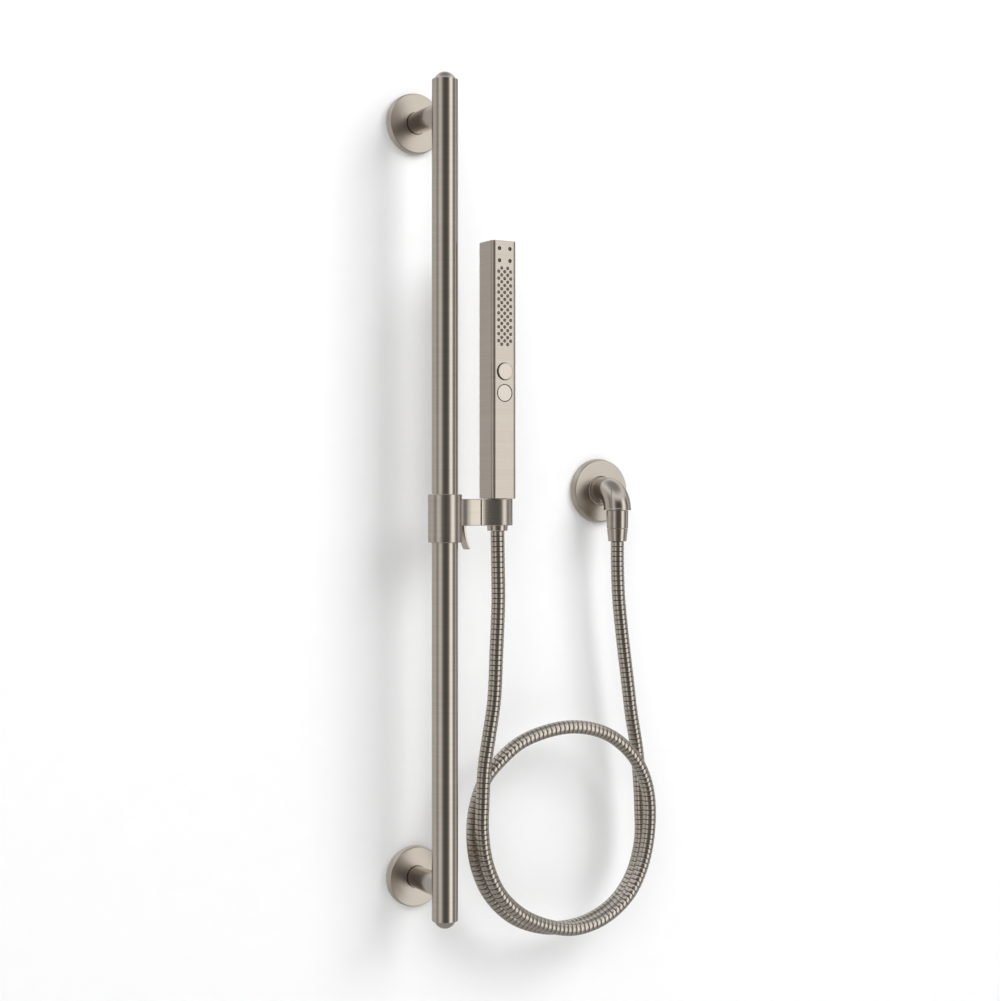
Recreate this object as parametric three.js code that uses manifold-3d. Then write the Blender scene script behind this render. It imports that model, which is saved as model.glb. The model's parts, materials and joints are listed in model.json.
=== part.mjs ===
// Hand shower set on a slide bar: bar with wall posts, sliding bracket with a brake lever, tilting cradle,
// square hand shower with two selector buttons, coiled metal hose and supply elbow. Millimetres, +Z up,
// the wall is the plane y = 0 and the set stands in front of it at y < 0. The origin is the centre of the
// upper wall plate's back face.
import * as THREE from "three";
import { mergeVertices } from "three/addons/utils/BufferGeometryUtils.js";
import Module from "manifold-3d";

const wasm = await Module();
wasm.setup();

// ---- driving dimensions ----
const gap = 0.3; // between pieces that touch
const running = 0.1; // round clearance of a pin or button that turns or slides

// slide bar and its wall fixings
const postSpacing = 762;
const barToWall = 67.6; // bar axis to wall
const barRadius = 12.9;
const barWall = 1.5;
const barOverhang = 32; // bar end beyond the post axis
const capHeight = 7.5;
const plateThickness = 4;
const spigotRadius = 8;
const spigotLength = 20;
const wallScrewOffset = 17;
const wallScrewLength = 26;
const postRootRadius = 10.8;
const postTipRadius = 11.5;
const flangeBaseRadius = 30.6;
const flangeTaper = 0.7; // a cover's face is this much smaller than its rim
const flangeDepth = 7.8;
const flangeSkin = 2;
const postHoleClearance = 0.6; // round a post, and round the elbow's root

// sliding bracket
const bracketDrop = 393.1; // middle of the arm, below the upper post
const collarSkin = 3.85; // collar surface beyond the bar
const collarUp = 17.7; // collar ends above and below the middle of the arm
const collarDown = 29.6;
const collarWall = 2.35;
const bushLength = 9;
const armHeight = 26.3;
const armHalfDepth = 8.5;
const armLength = 19.35; // collar surface to the plane of the tilt joint
const washerThickness = 0.8;
const pivotRadius = 3.5;
const pivotHeadRadius = 5.5;
const leverPinOut = 4.45; // lever pin beyond the collar surface
const leverPinZ = -6.4;
const leverPinRadius = 1.4;
const leverHubRadius = 3;
const cheekWall = 2.1; // arm wall on each side of the lever
const shoeHalfHeight = 3;

// cradle and hose nut of the hand shower
const cradleNeck = 8.35; // tilt joint to the cradle's round
const cradleSkin = 2.95; // cradle surface beyond the top of the nut
const insertWall = 0.8;
const coneClearance = 0.25; // hose nut to insert
const hoseSlotWidth = 15;
const hoseSlotTurn = 10; // degrees the slot is turned from +X towards the wall
const cradleFlare = 26; // degrees from the square position at which the neck runs into the round
const threadRadius = 9.6; // G 1/2 stubs
const boreRadius = 6;
const stubLength = 10;
const hoseRadius = 7;
const nutLength = 32;
const nutTopSkin = 2.6; // nut surface beyond the thread, at its top
const nutBottomSkin = 3.05; // nut surface beyond the hose, at its foot
const washerHeight = 2;
const hoseFlange = 1.9; // collar on a hose end, held by a nut's shoulder

// hand shower
const headWidth = 28;
const headDepth = 29;
const headHeight = 256.1;
const headCorner = 4;
const headWall = 2;
const edgeRound = 0.6;
const nozzlePitch = 6.87;
const nozzleRows = 12; // rows of two, with rows of three between them
const nozzleTopDrop = 27.4; // first row below the top
const jetPitch = 12; // the four large jets
const jetDrop = 13.9; // their middle below the top
const nozzleHole = 1.5;
const nozzleTip = 0.95;
const jetHole = 1.9;
const jetTip = 1.05;
const padThickness = 2.4;
const buttonRadius = 8.2;
const buttonPitch = 21.4;
const buttonsDrop = 37.53; // midway between the two buttons, below the last row
const buttonTravel = 2;
const buttonThickness = 4.2;
const buttonClearance = 0.4;
const stemRadius = 2;
const springSeatDepth = 3.2;
const rockerHalfThickness = 1.2;
const rockerPinRadius = 1;
const waterTubeRadius = 2.9;
const waterTubeWall = 0.9;

// supply elbow
const elbowX = 223.8;
const elbowDrop = 371; // elbow inlet axis below the upper post
const elbowReach = 38.5; // outlet axis to wall
const elbowSkin = 4.7; // elbow surface beyond the thread
const elbowRootSkin = 0.7; // root surface beyond the elbow's
const elbowBend = 20;
const elbowOutletStraight = 0.7; // straight stretch between the bend and the outlet's face
const elbowFlangeBase = 34.3;
const elbowFlangeTaper = 1.5;
const elbowNutSkin = 1.7; // nut surface beyond its thread
const elbowNutLength = 18.6;
const inletDepth = 14;
const sleeveLength = 13.5;
const sleeveTopSkin = 4; // sleeve surface beyond the hose
const sleeveEndSkin = 2.6;

// hose
const hoseSides = 8;
const hoseSteps = 52;

// sides of the large, middle and small rounds
const roundSides = 36;
const midSides = 24;
const smallSides = 12;
const nozzleSides = 6;

// ---- sizes that follow from the ones above ----
const barInner = barRadius - barWall;
const collarRadius = barRadius + collarSkin;
const collarBore = collarRadius - collarWall;
const slotX = collarRadius + armLength;
const leverPinX = collarRadius + leverPinOut;
const pocketRight = leverPinX + 7.8;
const leverHalfDepth = armHalfDepth - cheekWall - 0.4;
const shoeHalfDepth = leverHalfDepth - 2;
const boltHeadSeat = slotX + 6.4;
const nutTopRadius = threadRadius + nutTopSkin;
const nutBottomRadius = hoseRadius + nutBottomSkin;
const cradleRadius = nutTopRadius + cradleSkin;
const cradleX = slotX + cradleNeck + cradleRadius;
const seatTop = armHeight / 2;
const ferruleRadius = hoseRadius + gap;
const elbowRadius = threadRadius + elbowSkin;
const elbowRootRadius = elbowRadius + elbowRootSkin;
const elbowOutletDrop = elbowBend + elbowOutletStraight;

// The hose hangs from the hand shower's nut, makes one and a half turns and rises to the elbow.
const hoseRoute = [
  [59.6, -67.6, -412], [60, -68, -447], [61, -67, -481], [60, -65, -531], [59, -62, -582],
  [54, -61, -616], [49, -60, -649], [47, -60, -681], [47, -59, -713], [53, -58, -746],
  [68, -58, -777], [93, -58, -801], [126, -57, -817], [160, -56, -824], [195, -56, -817],
  [226, -56, -796], [245, -55, -765], [254, -54, -724], [251, -54, -685], [235, -54, -653],
  [209, -52, -630], [181, -52, -619], [154, -50, -616], [125, -48, -620], [98, -47, -629],
  [78, -46, -643], [60, -44, -662], [48, -44, -690], [45, -44, -721], [51, -43, -753],
  [66, -42, -782], [91, -42, -806], [122, -42, -820], [155, -41, -825], [188, -40, -821],
  [219, -40, -806], [241, -40, -780], [253, -39, -745], [254, -38, -708], [252, -38, -675],
  [249, -38, -647], [242, -38, -609], [237, -38, -573], [231, -38, -530], [226, -38, -487],
  [224, -38.3, -451], [223.8, -38.5, -425],
];

// ---- materials ----
const nickel = new THREE.MeshStandardMaterial({ color: 0xa79b8e, roughness: 0.38, metalness: 1 });
const brass = new THREE.MeshStandardMaterial({ color: 0xb5954f, roughness: 0.4, metalness: 1 });
const steel = new THREE.MeshStandardMaterial({ color: 0x9a9b9c, roughness: 0.35, metalness: 1 });
const plastic = new THREE.MeshStandardMaterial({ color: 0x2b2b2d, roughness: 0.6, metalness: 0 });
const whitePlastic = new THREE.MeshStandardMaterial({ color: 0xd8d8d4, roughness: 0.5, metalness: 0 });
const silicone = new THREE.MeshStandardMaterial({ color: 0x6d6862, roughness: 0.8, metalness: 0 });
const rubber = new THREE.MeshStandardMaterial({ color: 0x1b1b1c, roughness: 0.85, metalness: 0 });

// ---- solids ----

function solidOf(geometry) {
  const bare = geometry.clone();
  bare.deleteAttribute("normal");
  bare.deleteAttribute("uv");
  const merged = mergeVertices(bare, 1e-4);
  return new wasm.Manifold(new wasm.Mesh({
    numProp: 3,
    vertProperties: new Float32Array(merged.attributes.position.array),
    triVerts: new Uint32Array(merged.index.array),
  }));
}

function geometryOf(solid) {
  const mesh = solid.getMesh();
  const geometry = new THREE.BufferGeometry();
  geometry.setAttribute("position", new THREE.BufferAttribute(mesh.vertProperties, 3));
  geometry.setIndex(new THREE.BufferAttribute(mesh.triVerts, 1));
  geometry.computeVertexNormals();
  return geometry;
}

function join(...geometries) {
  return geometryOf(geometries.map(solidOf).reduce((a, b) => a.add(b)));
}

function cut(body, ...tools) {
  return geometryOf(tools.map(solidOf).reduce((a, b) => a.subtract(b), solidOf(body)));
}

// A box between two corners.
function block(low, high) {
  const [w, d, h] = high.map((v, i) => v - low[i]);
  return new THREE.BoxGeometry(w, d, h).translate(low[0] + w / 2, low[1] + d / 2, low[2] + h / 2);
}

// A turned body about +Z; the profile [radius, height] runs anticlockwise.
function turned(profile, segments = midSides) {
  const points = profile.map(([r, h]) => new THREE.Vector2(r, h));
  return new THREE.LatheGeometry(points, segments).rotateX(Math.PI / 2);
}

// A turned body about the wall's normal, with heights measured out from the wall.
function turnedOut(profile, segments = midSides) {
  return turned(profile, segments).rotateX(Math.PI / 2);
}

function ringProfile(inner, outer, low, high) {
  return [[inner, low], [outer, low], [outer, high], [inner, high], [inner, low]];
}

function discProfile(radius, low, high) {
  return [[0, low], [radius, low], [radius, high], [0, high]];
}

function rod(radius, low, high, segments = midSides) {
  return turned(discProfile(radius, low, high), segments);
}

function rodOut(radius, low, high, segments = midSides) {
  return turnedOut(discProfile(radius, low, high), segments);
}

// A rod along +X.
function rodAcross(radius, low, high, segments = midSides) {
  return rod(radius, low, high, segments).rotateY(Math.PI / 2);
}

// A plan outline raised from low to high with a small chamfer on its edges.
function raised(shape, low, high, chamfer = 0) {
  const geometry = new THREE.ExtrudeGeometry(shape, {
    depth: high - low - 2 * chamfer,
    bevelEnabled: chamfer > 0,
    bevelThickness: chamfer,
    bevelSize: chamfer,
    bevelOffset: -chamfer,
    bevelSegments: 1,
    curveSegments: 4,
  });
  return geometry.translate(0, 0, low + chamfer);
}

function roundedRectangle(width, depth, corner) {
  const shape = new THREE.Shape();
  const x = width / 2 - corner;
  const y = depth / 2 - corner;
  shape.absarc(x, y, corner, 0, Math.PI / 2);
  shape.absarc(-x, y, corner, Math.PI / 2, Math.PI);
  shape.absarc(-x, -y, corner, Math.PI, 1.5 * Math.PI);
  shape.absarc(x, -y, corner, 1.5 * Math.PI, 2 * Math.PI);
  return shape;
}

function circleShape(radius, sides) {
  const angles = Array.from({ length: sides }, (_, i) => (2 * Math.PI * i) / sides);
  return new THREE.Shape(angles.map((a) => new THREE.Vector2(radius * Math.cos(a), radius * Math.sin(a))));
}

function tube(path, radius, sides, steps) {
  return new THREE.ExtrudeGeometry(circleShape(radius, sides), { steps, extrudePath: path });
}

function hollowTube(path, radius, wall, sides, steps) {
  const shape = circleShape(radius, sides);
  shape.holes.push(circleShape(radius - wall, sides));
  return new THREE.ExtrudeGeometry(shape, { steps, extrudePath: path });
}

// A helical spring about +Z.
class Helix extends THREE.Curve {
  constructor(radius, low, high, turns) {
    super();
    Object.assign(this, { radius, low, high, turns });
  }
  getPoint(t) {
    const angle = 2 * Math.PI * this.turns * t;
    const z = this.low + (this.high - this.low) * t;
    return new THREE.Vector3(this.radius * Math.cos(angle), this.radius * Math.sin(angle), z);
  }
}

function coilSpring(radius, wire, low, high, turns) {
  return tube(new Helix(radius, low + wire, high - wire, turns), wire, 5, turns * 10);
}

const object = new THREE.Group();

function place(group, name, geometry, material, x = 0, y = 0, z = 0) {
  const mesh = new THREE.Mesh(geometry, material);
  mesh.name = name;
  mesh.position.set(x, y, z);
  group.add(mesh);
}

// ---- slide bar ----

const postBoltRadius = 2.9;
const postBoltHead = 5;
const grubRadius = 1.7;
const grubDepth = (flangeDepth - flangeSkin) / 2;
const capStem = 14;
const plateMargin = 4.8; // wall plate inside the cover's rim
const plateRadius = flangeBaseRadius - plateMargin;
const skirtWall = 2.2;
const spigotEnd = plateThickness + spigotLength;

function barTube() {
  const low = -postSpacing - barOverhang;
  const chamfer = 0.8;
  const body = turned([
    [barInner, low], [barRadius - chamfer, low], [barRadius, low + chamfer],
    [barRadius, barOverhang - chamfer], [barRadius - chamfer, barOverhang],
    [barInner, barOverhang], [barInner, low],
  ], roundSides);
  const holes = [0, -postSpacing].map((z) =>
    rodOut(postBoltRadius + gap, -barRadius - 1, -barInner + 2).translate(0, 0, z));
  return cut(body, ...holes);
}

// The cap's stem plugs into the tube and its dome stands beyond the end.
function endCap() {
  const capRadius = barInner - 0.8;
  const sphere = (capRadius ** 2 + capHeight ** 2) / (2 * capHeight);
  const start = Math.asin(capRadius / sphere);
  const steps = 5;
  const dome = Array.from({ length: steps }, (_, i) => {
    const angle = start * (1 - i / steps);
    return [sphere * Math.sin(angle), capHeight - sphere * (1 - Math.cos(angle))];
  });
  const stem = barInner - gap;
  return turned([
    [0, -capStem], [stem - 1, -capStem], [stem, -capStem + 1.5], [stem, 0], ...dome, [0, capHeight],
  ]);
}

// ---- wall fixings ----

function wallPlate() {
  const plate = turnedOut([
    [0, 0], [plateRadius, 0], [plateRadius, plateThickness], [spigotRadius, plateThickness],
    [spigotRadius, spigotEnd], [0, spigotEnd],
  ]);
  const holes = [-wallScrewOffset, wallScrewOffset].map((x) =>
    turnedOut([
      [0, -1], [2.6, -1], [2.6, 1], [5.2, plateThickness - 0.4], [5.2, plateThickness + 1],
      [0, plateThickness + 1],
    ], smallSides).translate(x, 0, 0));
  return cut(plate, ...holes);
}

function wallScrew() {
  const head = plateThickness - 0.4;
  return turnedOut([
    [0, -wallScrewLength], [0.6, -wallScrewLength], [2.2, -wallScrewLength + 5], [2.2, 1.2],
    [4.4, head - 0.2], [4.4, head], [0, head],
  ], smallSides);
}

// A turned cover, open towards the wall.
function coverFlange(baseRadius, taper, holeRadius) {
  const inner = flangeDepth - flangeSkin;
  const skirt = baseRadius - skirtWall;
  const faceRadius = baseRadius - taper;
  return turnedOut([
    [holeRadius, inner], [skirt, inner], [skirt, 0], [baseRadius, 0], [baseRadius, 2.4],
    [faceRadius + 0.35, flangeDepth - 0.9], [faceRadius - 0.5, flangeDepth],
    [holeRadius + 0.8, flangeDepth + 0.5], [holeRadius, flangeDepth], [holeRadius, inner],
  ], roundSides);
}

// A post's cover is held by a grub screw from below.
function postFlange() {
  const grubHole = rod(grubRadius + gap, -flangeBaseRadius - 1, -flangeBaseRadius + 4, smallSides);
  return cut(
    coverFlange(flangeBaseRadius, flangeTaper, postRootRadius + postHoleClearance),
    grubHole.translate(0, -grubDepth, 0));
}

function post() {
  const root = plateThickness + gap;
  const reach = barToWall - 3;
  const bore = spigotRadius + gap;
  const boreEnd = spigotEnd + gap + 1;
  const body = turnedOut([
    [bore, root], [postRootRadius, root], [postRootRadius, flangeDepth + 4], [postTipRadius, reach - 14],
    [postTipRadius, reach], [0, reach], [0, boreEnd], [bore, boreEnd], [bore, root],
  ]);
  const saddle = rod(barRadius + gap, -20, 20, roundSides).translate(0, -barToWall, 0);
  const threaded = rodOut(postBoltRadius + gap, boreEnd + 3, reach + 1);
  return cut(body, saddle, threaded);
}

// The bolt's head bears on the inside of the tube, and its shank runs back into the post.
function postBolt() {
  const seat = barToWall - Math.sqrt(barInner ** 2 - postBoltHead ** 2) + 0.6;
  const tip = spigotEnd + 7;
  const body = turnedOut([
    [0, tip], [postBoltRadius, tip],
    [postBoltRadius, seat], [postBoltHead, seat], [postBoltHead, seat + 3.4], [0, seat + 3.4],
  ], smallSides);
  return cut(body, rodOut(2.4, seat + 1.4, seat + 5, 6));
}

function setScrew() {
  const tip = -plateRadius - gap;
  const outer = -flangeBaseRadius + 0.4;
  const body = rod(grubRadius, outer, tip, smallSides);
  return cut(body, rod(0.9, outer - 1, outer + 1.6, 6));
}

function addSlideBar() {
  place(object, "bar_tube", barTube(), nickel, 0, -barToWall, 0);
  place(object, "upper_end_cap", endCap(), nickel, 0, -barToWall, barOverhang + gap);
  const lowerCap = endCap().rotateX(Math.PI);
  place(object, "lower_end_cap", lowerCap, nickel, 0, -barToWall, -postSpacing - barOverhang - gap);
  for (const [level, z] of [["upper", 0], ["lower", -postSpacing]]) {
    place(object, level + "_wall_plate", wallPlate(), steel, 0, 0, z);
    place(object, level + "_post", post(), nickel, 0, 0, z);
    place(object, level + "_flange", postFlange(), nickel, 0, 0, z);
    place(object, level + "_post_bolt", postBolt(), steel, 0, 0, z);
    place(object, level + "_set_screw", setScrew(), steel, 0, -grubDepth, z);
    for (const [side, x] of [["left", -wallScrewOffset], ["right", wallScrewOffset]])
      place(object, level + "_wall_screw_" + side, wallScrew(), steel, x, 0, z);
  }
}

// ---- sliding bracket, about the bar axis and the arm's middle height ----

const bracket = new THREE.Group();
bracket.position.set(0, -barToWall, -bracketDrop);
object.add(bracket);

const lip = 1.4; // end lips that keep the bushes in
const armEnd = slotX - washerThickness / 2 - gap;
const neckStart = slotX + washerThickness / 2 + gap;

function armOutline() {
  const shape = new THREE.Shape();
  const angle = THREE.MathUtils.degToRad(58);
  const x = (collarRadius - 0.2) * Math.cos(angle);
  const y = (collarRadius - 0.2) * Math.sin(angle);
  shape.moveTo(x, -y);
  shape.quadraticCurveTo(x + 6, -armHalfDepth, pocketRight - 3, -armHalfDepth);
  shape.lineTo(armEnd, -armHalfDepth);
  shape.lineTo(armEnd, armHalfDepth);
  shape.lineTo(pocketRight - 3, armHalfDepth);
  shape.quadraticCurveTo(x + 6, armHalfDepth, x, y);
  return shape;
}

// Collar, arm and lever pocket are one casting.
function bracketBody() {
  const arm = raised(armOutline(), -armHeight / 2, armHeight / 2, 0.5);
  const pocket = block(
    [0, cheekWall - armHalfDepth, -armHeight],
    [pocketRight, armHalfDepth - cheekWall, leverPinZ + 8.8]);
  const core = rod(collarRadius - 0.8, -collarDown - 1, collarUp + 1, roundSides);
  const collar = turned([
    [barRadius + 0.5, -collarDown], [collarRadius - 0.5, -collarDown], [collarRadius, -collarDown + 0.5],
    [collarRadius, collarUp - 0.5], [collarRadius - 0.5, collarUp], [barRadius + 0.5, collarUp],
    [barRadius + 0.5, collarUp - lip], [collarBore, collarUp - lip], [collarBore, -collarDown + lip],
    [barRadius + 0.5, -collarDown + lip], [barRadius + 0.5, -collarDown],
  ], roundSides);
  const shoeWindow = block(
    [barRadius - 1, -shoeHalfDepth - gap, leverPinZ - shoeHalfHeight - gap],
    [collarRadius + 1, shoeHalfDepth + gap, leverPinZ + shoeHalfHeight + gap]);
  const pinHole = rodOut(leverPinRadius + running, -armHalfDepth + 0.2, armHalfDepth - 0.2)
    .translate(leverPinX, 0, leverPinZ);
  const pivotHole = rodAcross(pivotRadius + gap, pocketRight - 1, armEnd + 1);
  return cut(join(cut(arm, pocket, core), collar), shoeWindow, pinHole, pivotHole);
}

function bush() {
  return turned(ringProfile(barRadius + 0.15, collarBore - gap, 0, bushLength), roundSides);
}

function brakeShoe() {
  const body = block(
    [barRadius - 2, -shoeHalfDepth, -shoeHalfHeight],
    [collarRadius + 0.25, shoeHalfDepth, shoeHalfHeight]);
  return cut(body, rod(barRadius + gap, -shoeHalfHeight - 1, shoeHalfHeight + 1, roundSides));
}

// Side outline of the lever about its pin: a round hub and a blade that curves away from the bar.
function leverOutline() {
  const shape = new THREE.Shape();
  shape.absarc(0, 0, leverHubRadius, 0, Math.PI);
  shape.splineThru([[-3.1, -5], [-2.9, -11], [-1.8, -18], [0.2, -25], [2.6, -30.4]]
    .map(([x, z]) => new THREE.Vector2(x, z)));
  shape.lineTo(4.2, -29.4);
  shape.splineThru([[2, -24.4], [0.2, -17.6], [-0.9, -11.4], [-0.6, -7.4], [2.2, -3.6], [leverHubRadius, 0]]
    .map(([x, z]) => new THREE.Vector2(x, z)));
  return shape;
}

function lever() {
  const body = new THREE.ExtrudeGeometry(leverOutline(), {
    depth: 2 * leverHalfDepth, bevelEnabled: false, curveSegments: 6,
  }).rotateX(Math.PI / 2).translate(0, leverHalfDepth, 0);
  const springSeat = block([-5, leverHalfDepth - 2.9, -3.6], [5, leverHalfDepth + 1, 5]);
  const bore = rodOut(leverPinRadius + running, -leverHalfDepth - 1, leverHalfDepth + 1);
  return cut(body, springSeat, bore);
}

function leverSpring() {
  const low = leverHalfDepth - 2.6;
  return coilSpring(2.3, 0.3, -leverHalfDepth, -low, 3).rotateX(Math.PI / 2);
}

function leverPin() {
  return rodOut(leverPinRadius, -armHalfDepth + 0.5, armHalfDepth - 0.5);
}

function pivotBolt() {
  const tip = pocketRight + 1;
  const seat = boltHeadSeat + gap;
  const top = boltHeadSeat + 2.6;
  return turned([
    [0, tip], [pivotRadius, tip], [pivotRadius, seat], [pivotHeadRadius, seat], [pivotHeadRadius, top],
    [0, top],
  ]).rotateY(Math.PI / 2);
}

function pivotWasher() {
  const half = washerThickness / 2;
  const profile = ringProfile(pivotRadius + gap, armHalfDepth - 0.4, slotX - half, slotX + half);
  return turned(profile).rotateY(Math.PI / 2);
}

// ---- cradle, a socket with a side slot for the hose ----

// Radius of the hose nut's cone at a height above the arm's middle.
function nutRadius(z) {
  const fromTop = (seatTop - z) / nutLength;
  return nutTopRadius + (nutBottomRadius - nutTopRadius) * fromTop;
}

function coneCore(clearance) {
  const low = -seatTop - 1;
  const high = seatTop + 1;
  return turned([
    [0, low], [nutRadius(low) + clearance, low], [nutRadius(high) + clearance, high], [0, high],
  ]).translate(cradleX, 0, 0);
}

function hoseSlot(extra) {
  const half = hoseSlotWidth / 2 + extra;
  return block([0, -half, -armHeight], [2 * cradleRadius, half, armHeight])
    .rotateZ(THREE.MathUtils.degToRad(hoseSlotTurn))
    .translate(cradleX, 0, 0);
}

// A straight neck that flares into the round; the curve's bend lies on the round's own tangent.
function cradleOutline() {
  const shape = new THREE.Shape();
  const lean = THREE.MathUtils.degToRad(cradleFlare);
  const x = cradleX - cradleRadius * Math.sin(lean);
  const y = cradleRadius * Math.cos(lean);
  const bend = x - (y - armHalfDepth) / Math.tan(lean);
  shape.moveTo(neckStart, -armHalfDepth);
  shape.quadraticCurveTo(bend, -armHalfDepth, x, -y);
  shape.absarc(cradleX, 0, cradleRadius, -Math.PI / 2 - lean, Math.PI / 2 + lean);
  shape.quadraticCurveTo(bend, armHalfDepth, neckStart, armHalfDepth);
  return shape;
}

function cradle() {
  const body = new THREE.ExtrudeGeometry(cradleOutline(), {
    depth: armHeight - 1, bevelEnabled: true, bevelThickness: 0.5, bevelSize: 0.5, bevelOffset: -0.5,
    bevelSegments: 1, curveSegments: 20,
  }).translate(0, 0, -armHeight / 2 + 0.5);
  const pivotBore = rodAcross(pivotRadius + running, neckStart - 1, boltHeadSeat + 1);
  const headRecess = rodAcross(pivotHeadRadius + 0.4, boltHeadSeat, cradleX);
  return cut(body, coneCore(coneClearance + insertWall + gap), hoseSlot(0), pivotBore, headRecess);
}

function cradleInsert() {
  const low = -seatTop + 0.2;
  const high = seatTop - 0.2;
  const [foot, mouth] = [nutRadius(low) + coneClearance, nutRadius(high) + coneClearance];
  const sleeve = turned([
    [foot, low], [foot + insertWall, low], [mouth + insertWall, high], [mouth, high], [foot, low],
  ]).translate(cradleX, 0, 0);
  return cut(sleeve, hoseSlot(0.4));
}

function addBracket() {
  place(bracket, "bracket_body", bracketBody(), nickel);
  place(bracket, "upper_bush", bush(), whitePlastic, 0, 0, collarUp - lip - gap - bushLength);
  place(bracket, "lower_bush", bush(), whitePlastic, 0, 0, -collarDown + lip + gap);
  place(bracket, "brake_shoe", brakeShoe(), rubber, 0, 0, leverPinZ);
  place(bracket, "brake_lever", lever(), nickel, leverPinX, 0, leverPinZ);
  place(bracket, "lever_pin", leverPin(), steel, leverPinX, 0, leverPinZ);
  place(bracket, "lever_spring", leverSpring(), steel, leverPinX, 0, leverPinZ);
  place(bracket, "pivot_bolt", pivotBolt(), steel);
  place(bracket, "pivot_washer", pivotWasher(), plastic);
  place(bracket, "cradle", cradle(), nickel);
  place(bracket, "cradle_insert", cradleInsert(), plastic);
}

// ---- hand shower, about its own axis and foot ----

const hand = new THREE.Group();
hand.position.set(cradleX, 0, seatTop + gap);
bracket.add(hand);

const frontInside = -headDepth / 2 + headWall;
const backInside = headDepth / 2 - headWall;
const padHalfWidth = headWidth / 2 - headWall - 1.4;
const trayHalfWidth = headWidth / 2 - headWall - 1.2;
const roofInside = headHeight - 2.5;
const topRow = headHeight - nozzleTopDrop;
const lowest = topRow - (nozzleRows - 1) * nozzlePitch;
const buttonsHeight = lowest - buttonsDrop;

// The diamond field of nozzles, as [x, z, is large jet].
function nozzlePlaces() {
  const places = [];
  for (let row = 0; row < nozzleRows; row++) {
    const z = topRow - row * nozzlePitch;
    for (const x of [-0.5, 0.5]) places.push([x * nozzlePitch, z, false]);
    if (row < nozzleRows - 1)
      for (const x of [-1, 0, 1]) places.push([x * nozzlePitch, z - nozzlePitch / 2, false]);
  }
  for (const x of [-0.5, 0.5])
    for (const z of [-0.5, 0.5]) places.push([x * jetPitch, headHeight - jetDrop + z * jetPitch, true]);
  return places;
}

function handShell() {
  const outer = raised(roundedRectangle(headWidth, headDepth, headCorner), 0, headHeight, edgeRound);
  const inside = raised(
    roundedRectangle(headWidth - 2 * headWall, headDepth - 2 * headWall, 1), -1, roofInside);
  const front = headDepth / 2;
  const nozzles = nozzlePlaces().map(([x, z, large]) =>
    rodOut(large ? jetHole : nozzleHole, front - headWall - 1, front + 1, nozzleSides).translate(x, 0, z));
  const buttons = [-0.5, 0.5].map((side) =>
    rodOut(buttonRadius + buttonClearance, front - headWall - 1, front + 1, roundSides)
      .translate(0, 0, buttonsHeight + side * buttonPitch));
  return cut(outer, inside, ...nozzles, ...buttons);
}

function nozzlePad() {
  const front = -frontInside - gap;
  const back = front - padThickness;
  const plate = block([-padHalfWidth, -front, lowest - 5], [padHalfWidth, -back, roofInside - 0.7]);
  const tips = nozzlePlaces().map(([x, z, large]) => {
    const radius = large ? jetTip : nozzleTip;
    const reach = headDepth / 2 + (large ? -0.6 : 0.5);
    return turnedOut([
      [0, front - 1], [radius + 0.2, front - 1], [radius, reach], [0, reach],
    ], nozzleSides).translate(x, 0, z);
  });
  return join(plate, ...tips);
}

const trayWall = 1.6;
const trayBack = backInside - 0.5;
const trayFoot = lowest - 5.4;
const portY = trayBack - trayWall - waterTubeRadius - 0.4;

// An open tray behind the pad, fed by the water tube through its foot.
function sprayChamber() {
  const front = frontInside + gap + padThickness + gap;
  const high = roofInside - 0.5;
  const body = block([-trayHalfWidth, front, trayFoot], [trayHalfWidth, trayBack, high]);
  const inside = block(
    [trayWall - trayHalfWidth, front - 1, trayFoot + trayWall],
    [trayHalfWidth - trayWall, trayBack - trayWall, high - trayWall]);
  const port = rod(waterTubeRadius + 0.1, trayFoot - 1, trayFoot + trayWall + 1).translate(0, portY, 0);
  return cut(body, inside, port);
}

// From the back of the shell: the water tube, the rocker, the carrier's wall and its cheeks.
const tubeY = backInside - waterTubeRadius - 0.5;
const rockerY = tubeY - waterTubeRadius - rockerHalfThickness - 1.8;
const carrierFront = frontInside + 3.5;
const carrierBack = rockerY - rockerHalfThickness - 1.8;
const carrierRear = tubeY - waterTubeRadius - 0.7;
const cheek = 2.2;
const carrierHalf = buttonPitch / 2 + 6.8;
const lowerProud = 0.1; // the lower button rests pressed in
const upperProud = lowerProud + buttonTravel;
const buttonPlaces = [["lower", -1, lowerProud], ["upper", 1, upperProud]];

// A button's cap, its stem and the thin collar that guides it. Proud is how far its face stands out.
function button(proud) {
  const face = headDepth / 2 + proud;
  const back = face - buttonThickness;
  const rockerFace = -rockerY + rockerHalfThickness;
  const stemEnd = rockerFace + (proud - lowerProud) - 0.3;
  return turnedOut([
    [0, stemEnd], [stemRadius, stemEnd], [stemRadius, back], [buttonRadius, back],
    [buttonRadius, face - 0.4], [buttonRadius - 0.4, face], [0, face],
  ], roundSides);
}

function buttonSpring(proud) {
  const back = headDepth / 2 + proud - buttonThickness;
  return coilSpring(3.6, 0.3, -carrierFront - springSeatDepth + gap, back - gap, 3).rotateX(Math.PI / 2);
}

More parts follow.
